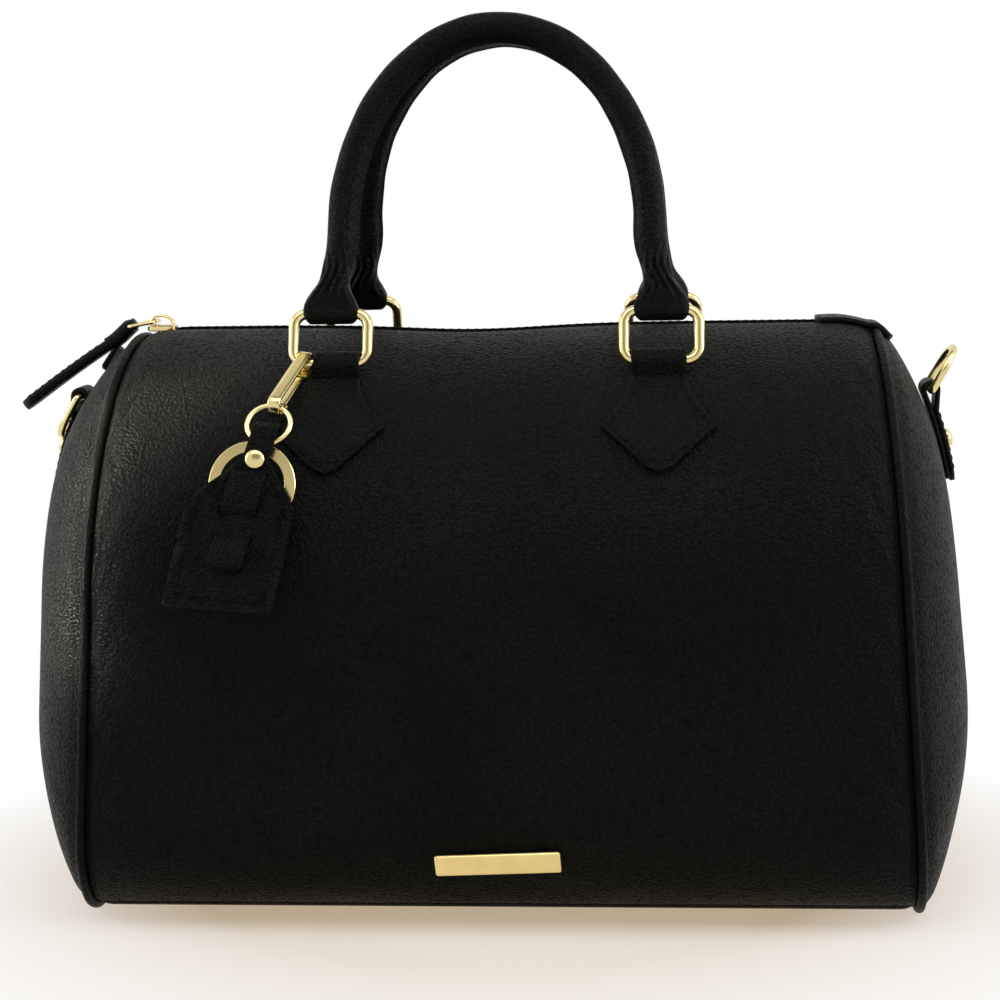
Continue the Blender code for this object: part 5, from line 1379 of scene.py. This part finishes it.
class BARRELBAG_OT_tag(bpy.types.Operator):
    """Make the tag: its two leathers, pocket strap, fold, rivet, rings and spring clip"""

    bl_idname = "barrelbag.tag"
    bl_label = "Tag"

    def execute(self, context):
        origin, across, up, out = leather_frame(-0.08537, 12.594, 0.0)
        across, up = turn_axes(across, up, -13.5)
        self.origin, self.up, self.out = origin, up, out
        self.across = across + 0.16 * up
        self.square = across
        self.make_leathers()
        self.make_straps()
        self.make_metal()
        return {"FINISHED"}

    def at(self, u, v, w):
        """A point of the tag: u across, v up and w away from the bag."""
        u, v, w = np.broadcast_arrays(u, v, w)
        sway = np.interp(v, [TAG_FOOT, TAG_SHOULDER, 0.027, 0.036], [-0.0014, -0.0022, -0.0007, 0.0])
        return (self.origin + (u + sway)[..., None] * self.across + v[..., None] * self.up
                + w[..., None] * self.out)

    def house(self, v, apex, neck):
        """Half width of the house outline at a height: walls, then a straight roof to the neck."""
        wall = TAG_HALF * (1 - 0.02 * np.clip((v - TAG_FOOT) / (TAG_SHOULDER - TAG_FOOT), 0, 1))
        roof = wall + (neck - wall) * np.clip((v - TAG_SHOULDER) / (apex - TAG_SHOULDER), 0, 1)
        foot = np.sqrt(np.clip((v - TAG_FOOT) / 0.0018, 0.12, 1))
        return roof - 0.0016 * (1 - foot)

    def lift(self, v, share, curl):
        """How far the foot curls away from the bag: more at its low end and at both edges."""
        return curl * smooth((0.008 - v) / 0.035) * (0.4 + 0.6 * share**2)

    def leather_sheet(self, name, level, apex, neck, curl, thickness, slots=()):
        """A house-shaped leather on a grid of heights and shares of its half width.

        slots are left out of the grid; curl lifts the foot away from the bag.
        """
        v = np.unique(np.concatenate([np.linspace(TAG_FOOT, TAG_SHOULDER, 60),
                                      np.linspace(TAG_SHOULDER, apex, 24), *slots]))
        inner = 0.0068 / TAG_HALF
        t = np.unique(np.concatenate([np.linspace(-1, -inner, 22), np.linspace(-inner, inner, 21),
                                      np.linspace(inner, 1, 22)]))
        half = self.house(v, apex, neck)
        u = half[:, None] * t[None, :]
        w = level + self.lift(v[:, None], t[None, :], curl)
        w = w + 0.00024 * np.sin(640.0 * u + 190.0 * v[:, None])
        w = w + 0.00014 * np.sin(1350.0 * u - 420.0 * v[:, None] + 1.0)
        distance = np.minimum(half[:, None] - np.abs(u), (v - TAG_FOOT)[:, None])
        w = w - 0.00022 * bump(distance, 0.0034, 0.0005) - 0.0003 * bump(distance, 0.0, 0.0006)
        points = self.at(u, v[:, None], w)
        faces = grid_faces(len(v), len(t))
        middle_v = (v[:-1] + v[1:]) / 2
        middle_t = (t[:-1] + t[1:]) / 2
        keep = np.ones((len(v) - 1, len(t) - 1), dtype=bool)
        for low, high in slots:
            rows = (middle_v > low) & (middle_v < high)
            keep &= ~(rows[:, None] & (np.abs(middle_t) < inner)[None, :])
        # The Edge share, which the tag leather lightens as rubbed wear and a painted highlight
        piece = add_mesh(name, points, faces[keep.ravel()], LOOKS["tag"], None,
                         edge=np.clip(1 - distance / 0.0011, 0, 1))
        if piece.data.polygons[0].normal.y > 0:
            piece.data.flip_normals()
        thicken(piece, thickness, 0.0)
        bevel = piece.modifiers.new("Edge", "BEVEL")
        bevel.width = 0.0003
        bevel.segments = 2
        bevel.limit_method = "ANGLE"
        bevel.angle_limit = math.radians(50)
        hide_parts(name.lower())
        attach(piece, "tag")

    def make_leathers(self):
        """Front and back leather, and the stitches inside the front's border."""
        slots = ((0.0072, 0.0104), (-0.0032, 0.0))
        self.leather_sheet("Tag_front", TAG_LEVEL, 0.0270, 0.0045, 0.0012, 0.0012, slots)
        self.leather_sheet("Tag_back", 0.0042, 0.0215, 0.009, 0.0006, 0.0010)
        low = -0.0223
        v = np.concatenate([[0.0235], np.linspace(TAG_SHOULDER, low, 30), np.full(30, low),
                            np.linspace(low, TAG_SHOULDER, 30), [0.0235]])
        inner = TAG_HALF - 0.0034
        wall = inner - 0.0004 * np.linspace(1, 0, 30)
        u = np.concatenate([[-0.0040], -wall, np.linspace(-inner, inner, 30), wall[::-1], [0.0040]])
        u, v = resample(np.stack([u, v], axis=-1), 0.0004).T
        core = self.at(u, v, 0.00745 + self.lift(v, u / TAG_HALF, 0.0012))
        stitches("Tag_stitch", core, self.out, "tag", 0.0027)

    def make_straps(self):
        """The front's strap folded round the ring, and the strap that runs through the slots."""
        top, back, front = 0.0404, 0.0011, TAG_LEVEL
        fold = (front - back) / 2
        centre = top - 0.0006 - fold
        turn = np.linspace(0, math.pi, 22)
        v = np.concatenate([np.linspace(0.0255, centre - 0.0005, 18), centre + fold * np.sin(turn),
                            np.linspace(centre - 0.0005, 0.0235, 18)])
        w = np.concatenate([np.full(18, front), (front + back) / 2 + fold * np.cos(turn),
                            np.full(18, back)])
        self.tag_strap("Tag_fold", v, w, 0.0045, 0.0012, "tag_front", 0.0012)
        knots = np.array([[0.0230, 0.0083], [0.0115, 0.0083], [0.0088, 0.0078], [0.0062, 0.0058],
                          [0.0036, 0.0055], [0.0010, 0.0058], [-0.0016, 0.0080], [-0.0040, 0.0094],
                          [-0.0080, 0.0100], [-0.0105, 0.0093], [-0.0120, 0.0078]])
        v, w = smooth_line(knots, 70, 3).T
        widths = 0.0062 * np.sqrt(np.clip((70 - np.arange(70)) / 5.0, 0.2, 1))
        self.tag_strap("Tag_pocket_strap", v, w, widths, 0.0016, "tag_pocket_strap", 0.0013)

    def tag_strap(self, name, v, w, widths, thickness, node, groove):
        """A strap along the tag's middle, through the heights v at the levels w."""
        points = self.at(0.0 * v, v, w)
        normals = path_frame(points, self.across, 5, self.out)
        strap(name, points, self.across, normals, widths, thickness, LOOKS["tag"], "tag",
              [node], groove=groove)

    def make_metal(self):
        """Rivet, flat ring, round ring and the spring clip with its gate."""
        head = TAG_LEVEL + 0.0006 + GAP
        profile = dome_profile(0.0034, 0.0017)
        profile = np.concatenate([[[0.0002, 0.0005 - head], [0.0013, 0.0005 - head], [0.0013, 0.0]],
                                  profile[1:]])
        turned("Tag_rivet", profile, self.at(0.0, 0.027, head).reshape(3), self.out, LOOKS["gold"],
               "tag", "pale_gold", ["tag_rivet"])
        turn = np.linspace(0, 2 * math.pi, 160, endpoint=False)
        half = 0.0007
        corner = 0.00022
        section_line = np.array([[0.0150 - corner, half], [0.0150, half - corner],
                                 [0.0150, corner - half], [0.0150 - corner, -half],
                                 [0.0112 + corner, -half], [0.0112, corner - half],
                                 [0.0112, half - corner], [0.0112 + corner, half]])
        middle = self.at(0.0010, 0.0186, 0.0027).reshape(3)
        ring = (np.cos(turn)[:, None, None] * self.square + np.sin(turn)[:, None, None] * self.up)
        points = middle + section_line[None, :, :1] * ring + section_line[None, :, 1:] * self.out
        turn_outwards(add_mesh("Tag_flat_ring", points,
                               grid_faces(160, 8, wrap_rows=True, wrap_cols=True), LOOKS["gold"],
                               "flat_ring", ["tag_flat_ring"], angle=30.0))
        strip, length = 0.0012, 0.0337
        base, across, up, out = leather_frame(-0.0676, SEAT_ANGLE,
                                              TAB_THICKNESS + RING_WIRE / 2 + 2 * GAP)
        across, up = turn_axes(across, up, -14.5)
        up, out = turn_axes(up, out, -3.5)
        top, back, front = 0.0027 + strip / 2, -0.0023 - strip / 2, 0.0028 + strip / 2
        foot = top + strip / 2 - length + strip / 2
        outline = rounded_outline(top - foot, front - back, 0.0026, 12)
        line = closed_even(outline, 220) + [(top + foot) / 2, (front + back) / 2]
        gate = (line[:, 1] < back + 0.0002) & (line[:, 0] < -0.0047) & (line[:, 0] > -0.0223)
        start = np.flatnonzero(gate & ~np.roll(gate, -1))[0]
        body = np.roll(line, -start - 1, axis=0)[: len(line) - gate.sum()]
        bar = np.stack([np.linspace(-0.0053, -0.0217, 30), np.full(30, back)], axis=-1)
        for name, path, rides, width in (("Tag_clip", body, "clip", 0.0046),
                                         ("Clip_gate", bar, "gate", 0.0028)):
            points = base + path[:, :1] * up + path[:, 1:] * out
            strap(name, points, across, path_frame(points, across), width / 2, strip,
                  LOOKS["gold"], rides, [name.lower()], flats=5, ends=3)
        ring_radius, ring_wire = 0.0075, 0.0020
        low = length - 0.0023 - 2 * strip - ring_wire / 2 - 2 * GAP
        upper = base - low * up + 0.0003 * out
        seat = self.at(0.0, 0.0334, TAG_LEVEL - 0.0006 - GAP - ring_wire / 2).reshape(3)
        climb = unit(upper - seat)
        level = unit(X_AXIS - climb * climb[0])
        wire = (upper - ring_radius * climb + ring_radius * np.cos(turn)[:, None] * level
                + ring_radius * np.sin(turn)[:, None] * climb)
        tube("Tag_small_ring", wire, ring_wire / 2, LOOKS["gold"], "small_ring", 16,
             ["tag_small_ring"])


class BARRELBAG_OT_stage(bpy.types.Operator):
    """Make the pale floor, the soft lights, the background and the camera"""

    bl_idname = "barrelbag.stage"
    bl_label = "Stage"

    def execute(self, context):
        self.make_floor()
        self.make_card()
        for name, place, aim, size, power, fan, colour in (
            ("Top_light", (0.05, -0.45, 1.25), (0.0, 0.0, 0.10), (1.3, 0.8), 9.0, 180, (1.0, 0.99, 0.96)),
            ("Left_light", (-1.25, -0.1, 0.55), (0.0, 0.0, 0.12), (0.7, 0.9), 7.0, 180, (1.0, 1.0, 0.98)),
            ("Left_glow", (-0.95, -0.55, 0.42), (-0.158, -0.078, 0.156), (0.02, 0.12), 0.08, 2.5,
             (1.0, 1.0, 0.96)),
            ("Right_light", (1.25, -0.15, 0.6), (0.0, 0.0, 0.12), (0.7, 0.9), 9.0, 180, (1.0, 0.99, 0.95)),
        ):
            data = bpy.data.lights.new(name, "AREA")
            data.shape = "RECTANGLE"
            data.spread = math.radians(fan)
            data.size, data.size_y = size
            data.energy = power
            data.color = colour
            light = bpy.data.objects.new(name, data)
            bpy.context.scene.collection.objects.link(light)
            place, aim = np.array(place), np.array(aim)
            back = unit(place - aim)
            right = unit(np.cross([0.0, 0.0, 1.0], back))
            light.matrix_world = self.placed(right, np.cross(back, right), back, place)
        self.make_world()
        self.make_camera()
        return {"FINISHED"}

    def placed(self, right, up, back, place):
        """A matrix from three axes and a place."""
        rows = np.eye(4)
        rows[:3, 0], rows[:3, 1], rows[:3, 2], rows[:3, 3] = right, up, back, place
        return Matrix(rows.tolist())

    def make_floor(self):
        """A floor that curves up into a backdrop: flat, then a quarter circle, then upright."""
        t = np.linspace(0, 1, 60)
        turn = np.clip((t - 0.5) / 0.25, 0, 1) * math.pi / 2
        y = -3.0 + np.minimum(t / 0.5, 1) * 6.0 + 1.2 * np.sin(turn)
        z = 1.2 * (1 - np.cos(turn)) + np.clip(t - 0.75, 0, 1) * 16.0
        x = np.linspace(-6, 6, 30)
        points = np.stack(np.broadcast_arrays(x[None, :], y[:, None], z[:, None] - 0.0004), axis=-1)
        look = self.floor_look()
        mesh = bpy.data.meshes.new("Floor")
        mesh.from_pydata(points.reshape(-1, 3).tolist(), [], grid_faces(60, 30).tolist())
        mesh.shade_smooth()
        floor = bpy.data.objects.new("Floor", mesh)
        bpy.context.scene.collection.objects.link(floor)
        mesh.materials.append(look)

    def make_card(self):
        """A dim ceiling and wall behind the camera, which only the metal's reflections show."""
        corners = [[-1.0, -2.4, 0.9], [1.0, -2.4, 0.9], [1.0, -1.9, 2.3], [-1.0, -1.9, 2.3],
                   [1.0, 0.9, 2.3], [-1.0, 0.9, 2.3]]
        mesh = bpy.data.meshes.new("Grey_card")
        mesh.from_pydata(corners, [], [[0, 1, 2, 3], [3, 2, 4, 5]])
        look = bpy.data.materials.new("Grey card")
        look.use_nodes = True
        tree = look.node_tree
        tree.nodes.clear()
        out = tree.nodes.new("ShaderNodeOutputMaterial")
        mix = tree.nodes.new("ShaderNodeMixShader")
        dim = tree.nodes.new("ShaderNodeEmission")
        dim.inputs["Color"].default_value = (0.30, 0.29, 0.27, 1.0)
        path = tree.nodes.new("ShaderNodeLightPath")
        clear = tree.nodes.new("ShaderNodeBsdfTransparent")
        tree.links.new(path.outputs["Is Glossy Ray"], mix.inputs[0])
        tree.links.new(clear.outputs[0], mix.inputs[1])
        tree.links.new(dim.outputs[0], mix.inputs[2])
        tree.links.new(mix.outputs[0], out.inputs["Surface"])
        mesh.materials.append(look)
        card = bpy.data.objects.new("Grey_card", mesh)
        bpy.context.scene.collection.objects.link(card)

    def floor_look(self):
        """Pale floor, seen as white far off, with a painted warm shadow under the bag where its glow drops
        to a dim warm tone.

        Near the bag a part of the white is left to the lamps, so that the shadow shows; light on
        its way to the bag meets a plain grey floor instead.
        """
        look, tree, shader, place = new_look("Pale floor")
        reach = tree.nodes.new("ShaderNodeVectorMath")
        reach.operation = "LENGTH"
        tree.links.new(place, reach.inputs[0])
        far = range_node(tree, reach.outputs["Value"], 0.12, 0.25)
        tint = range_node(tree, noise_node(tree, place, 1.7, 2.0), 0.3, 0.7)
        # Painted shadow: near the bag the floor's glow drops to a dim warm tone, with a little random tint
        # in it
        painted_warm_shadow = mix_colour(tree, tint, (0.45, 0.34, 0.23), (0.49, 0.39, 0.28))
        tree.links.new(mix_colour(tree, far, painted_warm_shadow, (1.0, 1.0, 1.0)), shader.inputs["Emission Color"])
        shader.inputs["Emission Strength"].default_value = 1.0
        tree.links.new(mix_colour(tree, far, (0.40, 0.44, 0.48), (0.0, 0.0, 0.0)),
                       shader.inputs["Base Color"])
        shader.inputs["Roughness"].default_value = 0.9
        shader.inputs["Specular IOR Level"].default_value = 0.0
        lit = tree.nodes.new("ShaderNodeBsdfPrincipled")
        lit.inputs["Base Color"].default_value = (0.5, 0.49, 0.47, 1.0)
        lit.inputs["Roughness"].default_value = 0.9
        lit.inputs["Specular IOR Level"].default_value = 0.0
        mix = tree.nodes.new("ShaderNodeMixShader")
        tree.links.new(seen_by_eye(tree), mix.inputs[0])
        tree.links.new(lit.outputs[0], mix.inputs[1])
        tree.links.new(shader.outputs[0], mix.inputs[2])
        out = next(node for node in tree.nodes if node.type == "OUTPUT_MATERIAL")
        tree.links.new(mix.outputs[0], out.inputs["Surface"])
        return look

    def make_world(self):
        """A white surround, seen as pure white straight on and in metal, and dimmer as light."""
        world = bpy.data.worlds.new("White surround")
        world.use_nodes = True
        tree = world.node_tree
        tree.nodes.clear()
        out = tree.nodes.new("ShaderNodeOutputWorld")
        seen = tree.nodes.new("ShaderNodeBackground")
        seen.inputs["Color"].default_value = (1.0, 1.0, 1.0, 1.0)
        seen.inputs["Strength"].default_value = 1.0
        fill = tree.nodes.new("ShaderNodeBackground")
        fill.inputs["Color"].default_value = (0.97, 0.98, 1.0, 1.0)
        fill.inputs["Strength"].default_value = 0.20
        mix = tree.nodes.new("ShaderNodeMixShader")
        tree.links.new(seen_by_eye(tree), mix.inputs[0])
        tree.links.new(fill.outputs[0], mix.inputs[1])
        tree.links.new(seen.outputs[0], mix.inputs[2])
        tree.links.new(mix.outputs[0], out.inputs["Surface"])
        bpy.context.scene.world = world

    def make_camera(self):
        """The camera that was fitted to the photo's outlines."""
        yaw, distance, height = math.radians(4.139), 0.8887, 0.26406
        aim, pitch, roll = math.radians(4.139 + 0.176), math.radians(7.830), math.radians(-0.937)
        place = np.array([math.sin(yaw) * distance, -math.cos(yaw) * distance, height])
        look = np.array([-math.sin(aim) * math.cos(pitch), math.cos(aim) * math.cos(pitch),
                         -math.sin(pitch)])
        right = np.array([math.cos(aim), math.sin(aim), 0.0])
        up = np.cross(right, look)
        c, s = math.cos(roll), math.sin(roll)
        right, up = right * c + up * s, up * c - right * s
        data = bpy.data.cameras.new("Camera")
        data.sensor_width = 36.0
        data.lens = 86.11
        data.clip_start = 0.01
        data.clip_end = 50.0
        camera = bpy.data.objects.new("Camera", data)
        bpy.context.scene.collection.objects.link(camera)
        camera.matrix_world = self.placed(right, up, -look, place)
        bpy.context.scene.camera = camera
        bpy.context.scene.view_settings.view_transform = "Standard"


class BARRELBAG_PT_panel(bpy.types.Panel):
    """The bag's sizes, colours and steps in the sidebar"""

    bl_idname = "BARRELBAG_PT_panel"
    bl_label = "Barrel bag"
    bl_space_type = "VIEW_3D"
    bl_region_type = "UI"
    bl_category = "Barrel bag"

    def draw(self, context):
        bag = context.scene.barrel_bag
        for title, group in (("Leather", bag.leather), ("Metal", bag.metal), ("Cloth", bag.cloth),
                             ("Form", bag.form), ("Stitches", bag.stitch)):
            box = self.layout.box()
            box.label(text=title)
            for name in group.__annotations__:
                box.prop(group, name)
        for step in STEPS:
            self.layout.operator(step.bl_idname)


STEPS = (BARRELBAG_OT_shell, BARRELBAG_OT_lining, BARRELBAG_OT_zip, BARRELBAG_OT_tabs,
         BARRELBAG_OT_handles, BARRELBAG_OT_rings, BARRELBAG_OT_sides, BARRELBAG_OT_pull,
         BARRELBAG_OT_plate, BARRELBAG_OT_tag, BARRELBAG_OT_stage)
GROUPS = (LeatherLook, MetalLook, ClothLook, FormSizes, StitchSizes, BagSettings)


def register():
    """Register the settings, the steps and the panel."""
    for item in GROUPS + STEPS + (BARRELBAG_PT_panel,):
        bpy.utils.register_class(item)
    bpy.types.Scene.barrel_bag = PointerProperty(type=BagSettings)


def unregister():
    """Remove everything that register added."""
    del bpy.types.Scene.barrel_bag
    for item in reversed(GROUPS + STEPS + (BARRELBAG_PT_panel,)):
        bpy.utils.unregister_class(item)


def main():
    """Build the bag's looks step by step."""
    register()
    make_looks()
    bpy.ops.barrelbag.shell()
    bpy.ops.barrelbag.lining()
    bpy.ops.barrelbag.zip()
    bpy.ops.barrelbag.tabs()
    bpy.ops.barrelbag.handles()
    bpy.ops.barrelbag.rings()
    bpy.ops.barrelbag.sides()
    bpy.ops.barrelbag.pull()
    bpy.ops.barrelbag.plate()
    bpy.ops.barrelbag.tag()
    bpy.ops.barrelbag.stage()


if __name__ == "__main__":
    main()
